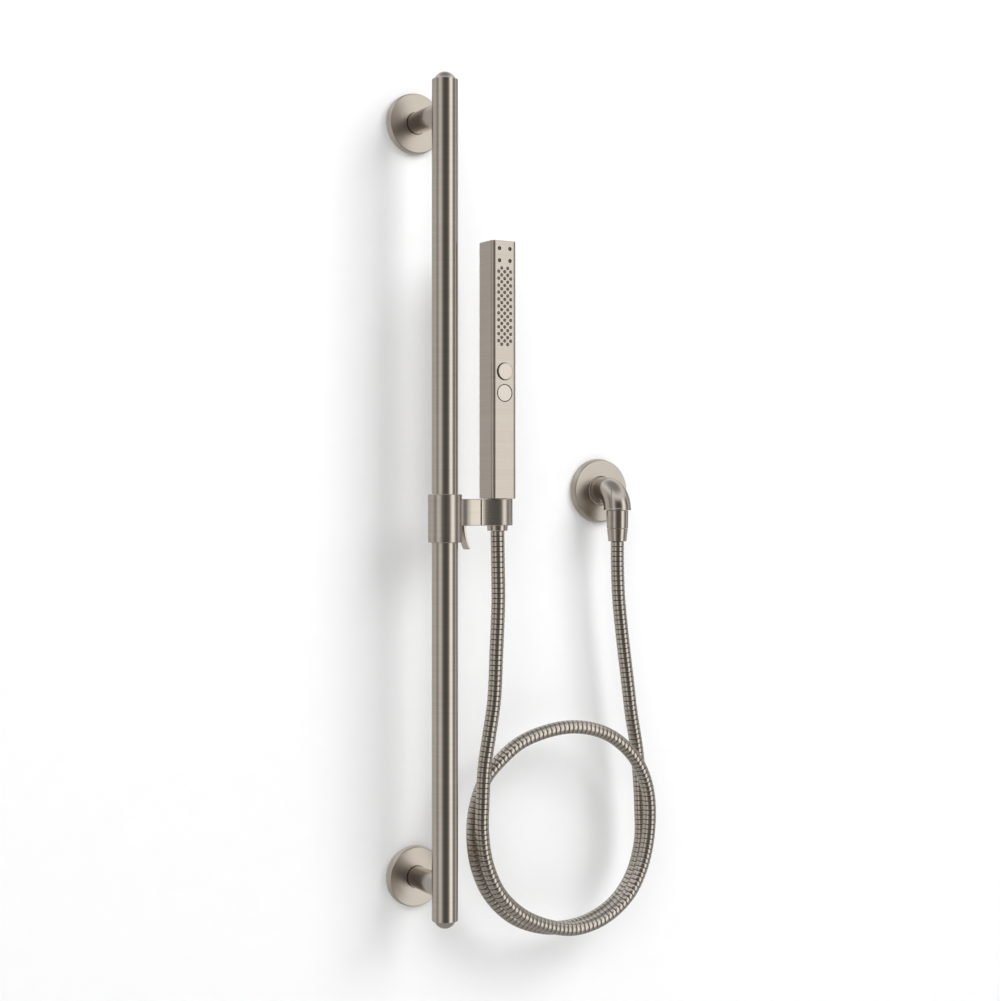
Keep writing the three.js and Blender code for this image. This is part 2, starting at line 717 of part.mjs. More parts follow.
// The block that guides both stems; its cheeks carry the rocker's pin.
function buttonCarrier() {
  const body = block(
    [-trayHalfWidth, carrierFront, buttonsHeight - carrierHalf],
    [trayHalfWidth, carrierRear, buttonsHeight + carrierHalf]);
  const yoke = block(
    [cheek - trayHalfWidth, carrierBack, buttonsHeight - carrierHalf + 1.5],
    [trayHalfWidth - cheek, carrierRear + 1, buttonsHeight + carrierHalf - 1.5]);
  const stems = [-0.5, 0.5].flatMap((side) => [
    rodOut(stemRadius + gap, -carrierBack - 1, -carrierFront + 1, smallSides),
    rodOut(5, -carrierFront - springSeatDepth, -carrierFront + 1),
  ].map((hole) => hole.translate(0, 0, buttonsHeight + side * buttonPitch)));
  const pinHole = rodAcross(rockerPinRadius + running, -headWidth, headWidth, smallSides)
    .translate(0, rockerY, buttonsHeight);
  return cut(body, yoke, ...stems, pinHole);
}

// The rocker turns one button's travel into the other's. It rests tilted, its lower end deeper.
function rocker() {
  const half = buttonPitch / 2 + 3;
  const width = 4;
  const body = block([-width, -rockerHalfThickness, -half], [width, rockerHalfThickness, half]);
  const hub = rodAcross(2 * rockerHalfThickness, -width, width, smallSides);
  const bore = rodAcross(rockerPinRadius + running, -width - 1, width + 1, smallSides);
  const tilt = Math.asin(buttonTravel / buttonPitch);
  return cut(join(body, hub), bore).rotateX(tilt);
}

const inletPlate = 8;

// The tube runs behind the carrier's yoke to the chamber's port.
function waterTube() {
  const carrierFoot = buttonsHeight - carrierHalf;
  const carrierTop = buttonsHeight + carrierHalf;
  const path = new THREE.CatmullRomCurve3([
    [0, 0, inletPlate + gap], [0, 0, inletPlate + 8], [0, 2, carrierFoot * 0.35],
    [0, tubeY - 1.5, carrierFoot * 0.7], [0, tubeY - 0.2, carrierFoot - 6], [0, tubeY - 0.2, carrierTop],
    [0, portY, trayFoot - 5], [0, portY, trayFoot - gap],
  ].map((p) => new THREE.Vector3(...p)), false, "centripetal");
  return hollowTube(path, waterTubeRadius, waterTubeWall, 8, 22);
}

// Foot plate of the hand shower with its G 1/2 stub.
function inletFitting() {
  const plate = raised(
    roundedRectangle(headWidth - 2 * (headWall + gap), headDepth - 2 * (headWall + gap), 1), 0.2, inletPlate);
  const stub = rod(threadRadius, -stubLength, 1);
  const bore = rod(boreRadius, -stubLength - 1, 5);
  const port = rod(waterTubeRadius - 0.5, 4, inletPlate + 1);
  return cut(join(plate, stub), bore, port);
}

const washerHole = 4.6;

function sealWasher() {
  return turned(ringProfile(washerHole, threadRadius, 0, washerHeight));
}

// Heights under a stub: its washer, the hose end's flange and the nut's shoulder.
function jointHeights(stubEnd) {
  const washer = stubEnd - gap - washerHeight;
  const flangeTop = washer - gap;
  const flangeFoot = flangeTop - hoseFlange;
  return { washer, flangeTop, flangeFoot, shoulder: flangeFoot - gap };
}

// Conical swivel nut: the stub screws in from above and the hose end is held by the shoulder below.
function handNut() {
  const top = -0.4;
  const bottom = -nutLength;
  const { shoulder } = jointHeights(-stubLength);
  const hole = ferruleRadius + gap;
  return turned([
    [hole, bottom], [nutBottomRadius - 0.4, bottom], [nutBottomRadius, bottom + 0.4],
    [nutTopRadius, top - 0.3], [nutTopRadius - 0.3, top], [threadRadius + gap, top],
    [threadRadius + gap, shoulder], [hole, shoulder], [hole, bottom],
  ], roundSides);
}

// Crimped hose end: a flange held by a nut's shoulder and a ferrule that reaches the hose.
function hoseEnd(stubEnd, ferruleEnd) {
  const { flangeTop, flangeFoot } = jointHeights(stubEnd);
  return turned([
    [washerHole, ferruleEnd], [ferruleRadius, ferruleEnd], [ferruleRadius, flangeFoot],
    [threadRadius, flangeFoot], [threadRadius, flangeTop], [washerHole, flangeTop],
    [washerHole, ferruleEnd],
  ]);
}

function addHandShower() {
  place(hand, "hand_shell", handShell(), nickel);
  place(hand, "nozzle_pad", nozzlePad(), silicone);
  place(hand, "spray_chamber", sprayChamber(), whitePlastic);
  place(hand, "button_carrier", buttonCarrier(), whitePlastic);
  for (const [level, side, proud] of buttonPlaces) {
    const z = buttonsHeight + (side * buttonPitch) / 2;
    place(hand, level + "_button", button(proud), nickel, 0, 0, z);
    place(hand, level + "_button_spring", buttonSpring(proud), steel, 0, 0, z);
  }
  place(hand, "selector_rocker", rocker(), plastic, 0, rockerY, buttonsHeight);
  const pinHalf = trayHalfWidth + 0.2;
  const pin = rodAcross(rockerPinRadius, -pinHalf, pinHalf, smallSides);
  place(hand, "rocker_pin", pin, steel, 0, rockerY, buttonsHeight);
  place(hand, "water_tube", waterTube(), whitePlastic);
  place(hand, "inlet_fitting", inletFitting(), brass);
  place(hand, "filter_washer", sealWasher(), rubber, 0, 0, jointHeights(-stubLength).washer);
  place(hand, "hand_hose_nut", handNut(), nickel);
  place(hand, "hand_hose_end", hoseEnd(-stubLength, -nutLength), brass);
}

// ---- supply elbow, about its inlet axis at the wall ----

const elbow = new THREE.Group();
elbow.position.set(elbowX, 0, -elbowDrop);
object.add(elbow);

// Centre line of the elbow: out from the wall, round the bend and down to the outlet.
class ElbowPath extends THREE.Curve {
  constructor(start, end) {
    super();
    this.out = elbowReach - elbowBend - start;
    this.turn = (Math.PI / 2) * elbowBend;
    this.down = end - elbowBend;
    this.start = start;
  }
  getPoint(t) {
    const s = t * (this.out + this.turn + this.down);
    if (s <= this.out) return new THREE.Vector3(0, -this.start - s, 0);
    const angle = Math.min((s - this.out) / elbowBend, Math.PI / 2);
    const rest = Math.max(s - this.out - this.turn, 0);
    const y = -(elbowReach - elbowBend) - elbowBend * Math.sin(angle);
    return new THREE.Vector3(0, y, -elbowBend * (1 - Math.cos(angle)) - rest);
  }
}

const outletEnd = elbowOutletDrop + stubLength;
const ringHeight = flangeDepth - flangeSkin - 0.7;
const elbowNutEnd = -elbowOutletDrop - 2 * gap - elbowNutLength;
const sleeveTop = elbowNutEnd - gap;
const sleeveEnd = sleeveTop - sleeveLength;

function elbowBody() {
  const skin = tube(new ElbowPath(2, elbowOutletDrop), elbowRadius, midSides, 15);
  const root = turnedOut([
    [0, 0], [elbowRootRadius, 0], [elbowRootRadius, flangeDepth + 1.5], [elbowRadius, flangeDepth + 6],
    [0, flangeDepth + 6],
  ]);
  const outlet = rod(threadRadius, -outletEnd, -elbowOutletDrop + 2).translate(0, -elbowReach, 0);
  const lipRing = turned([
    [0, -elbowOutletDrop], [elbowRadius + 0.1, -elbowOutletDrop], [elbowRadius + 0.4, -elbowOutletDrop + 0.5],
    [elbowRadius + 0.1, -elbowOutletDrop + 1.6], [0, -elbowOutletDrop + 1.6],
  ]).translate(0, -elbowReach, 0);
  const waterway = tube(new ElbowPath(10, outletEnd + 1), boreRadius, 10, 15);
  const inlet = rodOut(threadRadius + 0.6, -1, inletDepth);
  const ringGroove = turnedOut(
    ringProfile(elbowRootRadius - 1.1, elbowRootRadius + 1, ringHeight - 1.2, ringHeight + 1.2));
  return cut(join(skin, root, outlet, lipRing), waterway, inlet, ringGroove);
}

function oRing() {
  const section = Array.from({ length: 7 }, (_, i) => {
    const angle = (2 * Math.PI * (i % 6)) / 6;
    return [elbowRootRadius - 0.2 + 0.55 * Math.cos(angle), ringHeight + 0.8 * Math.sin(angle)];
  });
  return turnedOut(section);
}

function checkValve() {
  return turned(ringProfile(2.2, boreRadius - gap, -9, 0));
}

function elbowNut() {
  const top = -elbowOutletDrop - gap;
  const { shoulder } = jointHeights(-outletEnd);
  const thread = threadRadius + gap;
  const radius = thread + elbowNutSkin;
  const hole = ferruleRadius + gap;
  return turned([
    [hole, elbowNutEnd], [radius - 0.5, elbowNutEnd], [radius - 0.1, elbowNutEnd + 0.4],
    [radius, top - 0.5], [radius - 0.4, top], [thread, top], [thread, shoulder], [hole, shoulder],
    [hole, elbowNutEnd],
  ], roundSides);
}

function elbowSleeve() {
  const hole = ferruleRadius + gap;
  const top = hoseRadius + sleeveTopSkin;
  const foot = hoseRadius + sleeveEndSkin;
  return turned([
    [hole, sleeveEnd], [foot - 0.4, sleeveEnd], [foot, sleeveEnd + 0.4], [top, sleeveTop - 0.4],
    [top - 0.4, sleeveTop], [hole, sleeveTop], [hole, sleeveEnd],
  ], roundSides);
}

function addElbow() {
  const flange = coverFlange(elbowFlangeBase, elbowFlangeTaper, elbowRootRadius + postHoleClearance);
  place(elbow, "elbow_flange", flange, nickel);
  place(elbow, "elbow_body", elbowBody(), nickel);
  place(elbow, "elbow_o_ring", oRing(), rubber);
  place(elbow, "elbow_check_valve", checkValve(), whitePlastic, 0, -elbowReach, -elbowOutletDrop);
  place(elbow, "elbow_hose_nut", elbowNut(), nickel, 0, -elbowReach, 0);
  const { washer } = jointHeights(-outletEnd);
  place(elbow, "elbow_washer", sealWasher(), rubber, 0, -elbowReach, washer);
  place(elbow, "elbow_hose_end", hoseEnd(-outletEnd, sleeveEnd), brass, 0, -elbowReach, 0);
  place(elbow, "elbow_hose_sleeve", elbowSleeve(), nickel, 0, -elbowReach, 0);
}

// ---- hose ----

function hose() {
  const points = hoseRoute.map((p) => new THREE.Vector3(...p));
  const path = new THREE.CatmullRomCurve3(points, false, "centripetal");
  return tube(path, hoseRadius, hoseSides, hoseSteps);
}

addSlideBar();
addBracket();
addHandShower();
addElbow();
place(object, "hose", hose(), nickel);

export default object;
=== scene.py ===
"""Looks of the hand shower set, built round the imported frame. Sizes are in mm until a mesh is made."""

import json
import math

import bmesh
import bpy
import numpy as np
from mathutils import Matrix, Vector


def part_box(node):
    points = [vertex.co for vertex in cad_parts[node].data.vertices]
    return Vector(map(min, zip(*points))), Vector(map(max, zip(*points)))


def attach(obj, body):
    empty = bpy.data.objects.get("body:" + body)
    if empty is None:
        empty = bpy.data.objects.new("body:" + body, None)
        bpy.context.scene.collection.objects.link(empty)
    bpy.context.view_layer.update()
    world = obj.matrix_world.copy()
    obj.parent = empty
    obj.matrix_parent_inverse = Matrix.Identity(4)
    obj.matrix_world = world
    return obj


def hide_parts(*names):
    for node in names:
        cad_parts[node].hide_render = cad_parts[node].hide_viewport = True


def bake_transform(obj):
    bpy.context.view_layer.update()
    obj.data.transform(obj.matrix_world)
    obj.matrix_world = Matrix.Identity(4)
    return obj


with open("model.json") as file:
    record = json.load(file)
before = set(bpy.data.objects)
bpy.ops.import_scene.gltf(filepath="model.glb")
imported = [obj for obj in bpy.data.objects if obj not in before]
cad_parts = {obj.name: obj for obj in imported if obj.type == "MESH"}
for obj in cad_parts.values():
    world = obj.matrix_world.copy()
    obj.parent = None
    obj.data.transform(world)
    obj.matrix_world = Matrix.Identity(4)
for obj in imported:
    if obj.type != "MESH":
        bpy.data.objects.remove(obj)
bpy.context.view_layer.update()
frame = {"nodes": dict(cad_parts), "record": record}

MM = 0.001
FULL_TURN = 2 * math.pi
QUARTER = math.pi / 2
SHARP = math.radians(38)                              # a sharper edge than this is not shaded over
UP = np.eye(3)                                        # about a vertical axis
OUT = np.array([[1, 0, 0], [0, 0, 1], [0, -1, 0.0]])  # about an axis that leaves the wall


def span(node):
    """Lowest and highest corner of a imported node, in millimetres."""
    low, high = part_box(node)
    return np.array(low) / MM, np.array(high) / MM


def centre(node):
    return sum(span(node)) / 2


# ---------------------------------------------------------------- meshes

def make_piece(name, points, faces, marks=None):
    """A mesh of these points and four-sided faces, with its marks as attributes of the points."""
    mesh = bpy.data.meshes.new(name)
    mesh.from_pydata((points * MM).tolist(), [], faces.tolist())
    for mark, values in (marks or {}).items():
        mesh.attributes.new(mark, "FLOAT", "POINT").data.foreach_set("value", values.astype(np.float32))
    settle(mesh)
    piece = bpy.data.objects.new(name, mesh)
    bpy.context.scene.collection.objects.link(piece)
    return piece


def settle(mesh):
    """Merges doubled points, turns the skin outwards and shades it smooth between its sharp edges."""
    shape = bmesh.new()
    shape.from_mesh(mesh)
    bmesh.ops.remove_doubles(shape, verts=shape.verts, dist=1e-7)
    if shape.calc_volume(signed=True) < 0:
        bmesh.ops.reverse_faces(shape, faces=shape.faces)
    shape.to_mesh(mesh)
    shape.free()
    mesh.shade_smooth()
    mesh.set_sharp_from_angle(angle=SHARP)


def skins(name, grids, ring=False, marks=None):
    """Closed skins over grids of points, (skin, row, column, xyz). Each row is a closed loop, and
    neighbouring rows are joined by quads. A row that shrinks to one point is a pole; ring joins the last
    row to the first."""
    count, rows, columns = grids.shape[:3]
    skin = np.arange(count)[:, None, None] * rows * columns
    row = np.arange(rows if ring else rows - 1)[None, :, None]
    column = np.arange(columns)[None, None, :]
    here, there = skin + row * columns, skin + (row + 1) % rows * columns
    after = (column + 1) % columns
    faces = np.stack([here + column, here + after, there + after, there + column], axis=-1)
    return make_piece(name, grids.reshape(-1, 3), faces.reshape(-1, 4), marks)


def rounded(corners, steps=5):
    """A profile whose corners (across, along, radius) are rounded. Between the points A and B, which lie at
    one distance from the corner P on its two sides, the curve is (1-s)^2 A + 2 s (1-s) P + s^2 B. One point
    more on each side keeps the flats flat. A radius of 0 leaves the corner as it is."""
    corners = np.array([(*c, 0)[:3] for c in corners], float)
    corner, radius = corners[:, :2], corners[:, 2:]
    back, on = np.roll(corner, 1, 0) - corner, np.roll(corner, -1, 0) - corner
    back_length, on_length = (np.linalg.norm(side, axis=1, keepdims=True) for side in (back, on))
    back, on = back / back_length, on / on_length
    half_angle = np.arccos(np.clip((back * on).sum(1, keepdims=True), -1, 1)) / 2
    shorter = np.minimum(back_length, on_length)
    trim = np.minimum(radius / np.tan(np.maximum(half_angle, 0.01)), 0.4 * shorter)
    guard = np.where(radius > 0, np.minimum(0.15, 0.08 * shorter), 0)
    a, b = corner + back * trim, corner + on * trim
    s = np.linspace(0, 1, steps)[None, :, None]
    curve = (1 - s) ** 2 * a[:, None] + 2 * s * (1 - s) * corner[:, None] + s ** 2 * b[:, None]
    ends = corner + back * (trim + guard), corner + on * (trim + guard)
    profile = np.concatenate([ends[0][:, None], curve, ends[1][:, None]], axis=1).reshape(-1, 2)
    step = np.linalg.norm(np.diff(profile, axis=0), axis=1)
    return profile[np.concatenate([[True], step > 1e-4])]


def turned_grid(profile, sides):
    """Points (r cos a, r sin a, h) for each (r, h) of a profile and each angle a of a full turn."""
    angle = np.arange(sides) / sides * FULL_TURN
    r, h = profile[:, 0, None], profile[:, 1, None]
    return np.stack([r * np.cos(angle), r * np.sin(angle), h + 0 * angle], axis=-1)


def turned(name, corners, place, axes=UP, sides=96, ring=False):
    """A turned piece: the rounded profile carried round its axis."""
    grid = turned_grid(rounded(corners), sides) @ axes + np.array(place, float)
    return skins(name, grid[None], ring)


def many_turned(name, profile, places, axes, sides):
    """The same small turned shape at many places, as one mesh."""
    grid = turned_grid(np.array(profile, float), sides) @ axes
    return skins(name, places[:, None, None, :] + grid[None])


def smooth_copy(node, name, edge):
    """A copy of a packed casting with merged points, flat faces made whole, and every sharp edge rounded."""
    mesh = frame["nodes"][node].data.copy()
    mesh.name = name
    shape = bmesh.new()
    shape.from_mesh(mesh)
    bmesh.ops.remove_doubles(shape, verts=shape.verts, dist=2e-6)
    bmesh.ops.dissolve_limit(
        shape, angle_limit=math.radians(0.6), verts=shape.verts, edges=shape.edges, delimit=set())
    shape.to_mesh(mesh)
    shape.free()
    mesh.materials.clear()
    mesh.shade_smooth()
    mesh.set_sharp_from_angle(angle=math.radians(32))
    piece = bpy.data.objects.new(name, mesh)
    bpy.context.scene.collection.objects.link(piece)
    bevel = piece.modifiers.new("edge", "BEVEL")
    bevel.width, bevel.segments, bevel.limit_method = edge * MM, 2, "ANGLE"
    bevel.angle_limit = math.radians(40)
    piece.modifiers.new("flats", "WEIGHTED_NORMAL").keep_sharp = True
    return piece


# ---------------------------------------------------------------- shader arithmetic

class Field:
    """A value that changes over a surface. Arithmetic on it adds Math nodes."""

    def __init__(self, recipe, socket):
        self.recipe, self.socket = recipe, socket

    def __add__(self, other):
        return self.recipe.math("ADD", self, other)

    def __sub__(self, other):
        return self.recipe.math("SUBTRACT", self, other)

    def __rsub__(self, other):
        return self.recipe.math("SUBTRACT", other, self)

    def __mul__(self, other):
        return self.recipe.math("MULTIPLY", self, other)

    def __neg__(self):
        return self.recipe.math("MULTIPLY", self, -1)

    __radd__, __rmul__ = __add__, __mul__


class Recipe:
    """The nodes of one material or of the world."""

    def __init__(self, tree):
        self.tree = tree
        tree.nodes.clear()

    def add(self, kind, settings, values, output=0):
        """One node: its type, its settings, the values or links of its sockets, and the output used."""
        node = self.tree.nodes.new("ShaderNode" + kind)
        for name, setting in settings.items():
            if name == "stops":
                set_stops(node.color_ramp, setting)
            else:
                setattr(node, name, setting)
        for name, value in values.items():
            if isinstance(value, Field):
                self.tree.links.new(value.socket, node.inputs[name])
            else:
                node.inputs[name].default_value = value
        return Field(self, node.outputs[output]) if len(node.outputs) else None

    def math(self, operation, *values):
        return self.add("Math", {"operation": operation}, dict(enumerate(values)))

    def place(self, scale=(1, 1, 1), shift=(0, 0, 0)):
        """Object coordinates in metres, scaled after a shift."""
        own = self.add("TexCoord", {}, {}, "Object")
        moved = self.add("VectorMath", {"operation": "ADD"}, {0: own, 1: shift})
        return self.add("VectorMath", {"operation": "MULTIPLY"}, {0: moved, 1: scale})

    def noise(self, where, scale=1.0, detail=2.0):
        return self.add("TexNoise", {}, {"Vector": where, "Scale": scale, "Detail": detail})

    def parts(self, vector):
        node = self.add("SeparateXYZ", {}, {"Vector": vector})
        return [Field(self, out) for out in node.socket.node.outputs]

    def smooth(self, value, low, high):
        """0 below low, 1 above high, and a smooth step between them."""
        return self.add("MapRange", {"interpolation_type": "SMOOTHSTEP"}, {
            "Value": value, "From Min": low, "From Max": high})

    def mix(self, share, first, second):
        return self.add("Mix", {"data_type": "RGBA"}, {0: share, 6: colour(first), 7: colour(second)}, 2)

    def bump(self, height, depth_mm, strength=1.0):
        return self.add("Bump", {}, {"Height": height, "Distance": depth_mm * MM, "Strength": strength})

    def surface(self, **sockets):
        named = {name.replace("_", " "): value for name, value in sockets.items()}
        shader = self.add("BsdfPrincipled", {}, named)
        self.add("OutputMaterial", {}, {"Surface": shader})


def colour(value):
    return value if isinstance(value, Field) else (*value, 1.0)


def set_stops(ramp, stops):
    while len(ramp.elements) < len(stops):
        ramp.elements.new(0.5)
    for element, (position, shade) in zip(ramp.elements, stops):
        element.position, element.color = position, (*shade, 1.0)


def new_recipe(name):
    material = bpy.data.materials.new(name)
    material.use_nodes = True
    return material, Recipe(material.node_tree)


# ---------------------------------------------------------------- finishes

NICKEL_LIGHT, NICKEL_DEEP = (0.70, 0.642, 0.574), (0.61, 0.554, 0.486)
# The third strip colour is a painted shade for the hose's grooves, not a colour of the strip.
STRIP_LIGHT, STRIP_DEEP, STRIP_GROOVE_PAINTED_SHADE = (0.72, 0.664, 0.594), (0.60, 0.548, 0.480), (0.14, 0.125, 0.107)
# The last of these colours is a painted shade for deep in the nozzle and jet holes.
TIP_LIGHT, TIP_DEEP, HOLE_PAINTED_SHADE = (0.24, 0.218, 0.192), (0.15, 0.135, 0.118), (0.016, 0.014, 0.012)
STEEL = ((0.42, 0.42, 0.43), (0.58, 0.58, 0.59), 0.3, (300, 300, 900))
ACROSS_LINES = 2400  # changes per metre across the brush lines


def nickel_from_lines(name, lines_at, roughness=0.15, line_depth=0.006):
    """Satin nickel. lines_at gives coordinates in which the brush lines are short across and long along."""
    material, r = new_recipe(name)
    where = lines_at(r)
    fine, broad = r.noise(where, 1.0, 3.0), r.noise(where, 0.16, 2.0)
    cloud = r.noise(r.place(), 14.0, 3.0)
    speck = r.smooth(r.noise(r.place(), 900.0, 2.0), 0.66, 0.8)
    wear = 0.42 * fine + 0.26 * broad + 0.32 * cloud
    r.surface(
        Base_Color=r.mix(r.smooth(wear, 0.3, 0.7), NICKEL_DEEP, NICKEL_LIGHT),
        Metallic=1.0,
        Roughness=roughness - 0.05 + 0.06 * fine + 0.05 * cloud + 0.04 * speck,
        Normal=r.bump(0.7 * fine + 0.5 * broad, line_depth))
    return material


def level_lines(r):
    """Lines that lie level, as on the bar, collar and hand shower: fast in height and slow across."""
    return r.place((26, 26, ACROSS_LINES))


def rings_about(middle, axes):
    """Lines round an axis: fast in the distance from the axis plus the distance along it, slow otherwise."""
    def lines(r):
        x, y, z = r.parts(r.place(shift=tuple(-np.array(middle, float) * MM)))
        along, side = (z, y) if axes is UP else (y, z)
        spread = r.math("SQRT", x * x + side * side)
        return r.add("CombineXYZ", {}, {"X": x * 20, "Y": side * 20, "Z": (spread + along) * 2300})
    return lines


def plain_satin(r):
    """Fine grain with no direction, as on a blasted casting."""
    return r.place((1500, 1500, 1500))


def moulded(name, low, high, roughness, grain=700.0, depth=0.01):
    """Moulded plastic, rubber or silicone: faint flow marks in the colour and a fine grain in the surface."""
    material, r = new_recipe(name)
    flow, fine = r.noise(r.place(), 60.0, 3.0), r.noise(r.place(), grain, 2.0)
    r.surface(
        Base_Color=r.mix(0.7 * flow + 0.3 * fine, low, high),
        Roughness=roughness - 0.08 + 0.1 * fine + 0.06 * flow,
        Normal=r.bump(fine, depth))
    return material


def worked_metal(name, low, high, roughness, lines):
    """Plain turned or drawn metal with tool marks along one direction."""
    material, r = new_recipe(name)
    marks, cloud = r.noise(r.place(lines), 1.0, 3.0), r.noise(r.place(), 40.0, 3.0)
    r.surface(
        Base_Color=r.mix(0.5 * marks + 0.5 * cloud, low, high), Metallic=1.0,
        Roughness=roughness - 0.06 + 0.1 * marks + 0.06 * cloud, Normal=r.bump(marks, 0.008))
    return material


def hose_nickel():
    """Wound strip in its own satin tone on the crown of each turn, with painted shade darkening the groove
    where the edges hook, which is also duller there.
    """
    material, r = new_recipe("hose_strip")
    groove = r.add("Attribute", {"attribute_name": "groove"}, {}, "Fac")
    fine, cloud = r.noise(r.place(), 1400.0, 2.0), r.noise(r.place(), 30.0, 3.0)
    bright = r.mix(0.5 * fine + 0.5 * cloud, STRIP_DEEP, STRIP_LIGHT)
    r.surface(
        # painted shade: the groove's depth mark mixes the colour towards the dark groove shade; it also
        # raises the roughness there
        Base_Color=r.mix(r.smooth(groove, 0.25, 0.95), bright, STRIP_GROOVE_PAINTED_SHADE), Metallic=1.0,
        Roughness=0.13 + 0.07 * fine + 0.05 * cloud + 0.15 * groove, Normal=r.bump(fine, 0.01))
    return material


def nozzle_silicone_and_hole_shade(front, depth):
    """Grey silicone with painted shade low in the holes: the painted shade deepens with the depth behind the
    front.
    """
    material, r = new_recipe("nozzle_silicone_and_hole_shade")
    y = r.parts(r.place())[1]
    # Mask of the painted shade in the holes: 0 at the front, 1 from the given depth behind it.
    low = r.smooth(y, (front + 0.05) * MM, (front + depth) * MM)
    fine, flow = r.noise(r.place(), 1100.0, 2.0), r.noise(r.place(), 90.0, 2.0)
    tip = r.mix(0.5 * fine + 0.5 * flow, TIP_DEEP, TIP_LIGHT)
    r.surface(
        # painted shade: the colour darkens to the hole shade with the depth behind the front
        Base_Color=r.mix(low, tip, HOLE_PAINTED_SHADE), Roughness=0.46 + 0.16 * fine + 0.06 * flow,
        Normal=r.bump(fine, 0.012))
    return material


# ---------------------------------------------------------------- sizes of this set

bar_low, bar_high = span("bar_tube")
BAR = centre("bar_tube")
BAR_RADIUS = (bar_high[0] - bar_low[0]) / 2
CAP_RADIUS = 10.6
POSTS = {"upper": 0.0, "lower": float(centre("lower_post")[2])}
hand_low, hand_high = span("hand_shell")
HAND = (hand_low + hand_high) / 2
FRONT = float(hand_low[1])
elbow_low, elbow_high = span("elbow_flange")
ELBOW = np.array([(elbow_low[0] + elbow_high[0]) / 2, 0, (elbow_low[2] + elbow_high[2]) / 2])
ELBOW_REACH = 38.5

level_nickel = nickel_from_lines("level_brushed_nickel", level_lines)
hand_nickel = nickel_from_lines("hand_brushed_nickel", level_lines, 0.29, 0.005)
bracket_nickel = nickel_from_lines("bracket_brushed_nickel", level_lines, 0.19)
cradle_nickel = nickel_from_lines("cradle_brushed_nickel", level_lines, 0.26)
cast_nickel = nickel_from_lines("cast_satin_nickel", plain_satin, 0.19, 0.005)


def show(piece, body, slot, material, *stands_for):
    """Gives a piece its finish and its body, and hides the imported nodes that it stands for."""
    piece.data.materials.clear()
    piece.data.materials.append(material)
    if body:
        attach(piece, body)
    if stands_for:
        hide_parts(*stands_for)
    return piece


# ---------------------------------------------------------------- hose, six cords end to end

HOSE_ROUTE = np.array([
    [59.6, -67.6, -412], [60, -68, -447], [61, -67, -481], [60, -65, -531], [59, -62, -582],
    [54, -61, -616], [49, -60, -649], [47, -60, -681], [47, -59, -713], [53, -58, -746],
    [68, -58, -777], [93, -58, -801], [126, -57, -817], [160, -56, -824], [195, -56, -817],
    [226, -56, -796], [245, -55, -765], [254, -54, -724], [251, -54, -685], [235, -54, -653],
    [209, -52, -630], [181, -52, -619], [154, -50, -616], [125, -48, -620], [98, -47, -629],
    [78, -46, -643], [60, -44, -662], [48, -44, -690], [45, -44, -721], [51, -43, -753],
    [66, -42, -782], [91, -42, -806], [122, -42, -820], [155, -41, -825], [188, -40, -821],
    [219, -40, -806], [241, -40, -780], [253, -39, -745], [254, -38, -708], [252, -38, -675],
    [249, -38, -647], [242, -38, -609], [237, -38, -573], [231, -38, -530], [226, -38, -487],
    [224, -38.3, -451], [223.8, -38.5, -425],
])
RING_PITCH = 5.15
HOSE_SIDES = 24
SHORT_STRETCH = 17  # rings; the three stretches below the hand shower are this long
CROSSINGS = (253, -54, -700), (45, -44, -721)  # where the loop is cut, right and left
# Share of a ring, radius, depth in the groove: the edges hook in a groove, and the strip is crowned. The
# depth also sets the painted shade in the groove.
RING_SECTION = np.array([
    [0.00, 6.42, 1.0], [0.05, 6.45, 1.0], [0.09, 6.90, 0.4], [0.15, 6.98, 0.0], [0.50, 7.0, 0.0],
    [0.85, 6.98, 0.0], [0.91, 6.90, 0.4], [0.95, 6.45, 1.0],
])


def curve_through(points, steps=40):
    """Centripetal Catmull-Rom curve: knots are spaced by the square root of the chords, and each stretch is
    the cubic with the tangents that those knots give. Ends are carried on by reflection."""
    p = np.vstack([2 * points[0] - points[1], points, 2 * points[-1] - points[-2]])
    dt = np.sqrt(np.linalg.norm(np.diff(p, axis=0), axis=1))[:, None]
    p0, p1, p2, p3 = p[:-3], p[1:-2], p[2:-1], p[3:]
    d0, d1, d2 = dt[:-2], dt[1:-1], dt[2:]
    m1 = ((p1 - p0) / d0 - (p2 - p0) / (d0 + d1) + (p2 - p1) / d1) * d1
    m2 = ((p2 - p1) / d1 - (p3 - p1) / (d1 + d2) + (p3 - p2) / d2) * d1
    t = np.linspace(0, 1, steps, endpoint=False)[None, :, None]
    fine = ((2 * t**3 - 3 * t**2 + 1) * p1[:, None] + (t**3 - 2 * t**2 + t) * m1[:, None]
            + (-2 * t**3 + 3 * t**2) * p2[:, None] + (t**3 - t**2) * m2[:, None])
    return np.vstack([fine.reshape(-1, 3), points[-1]])


def at_distances(line, distances):
    """Points of a polyline at these distances along it, and its whole length."""
    run = np.concatenate([[0], np.cumsum(np.linalg.norm(np.diff(line, axis=0), axis=1))])
    return np.stack([np.interp(distances, run, line[:, k]) for k in range(3)], axis=-1), run[-1]


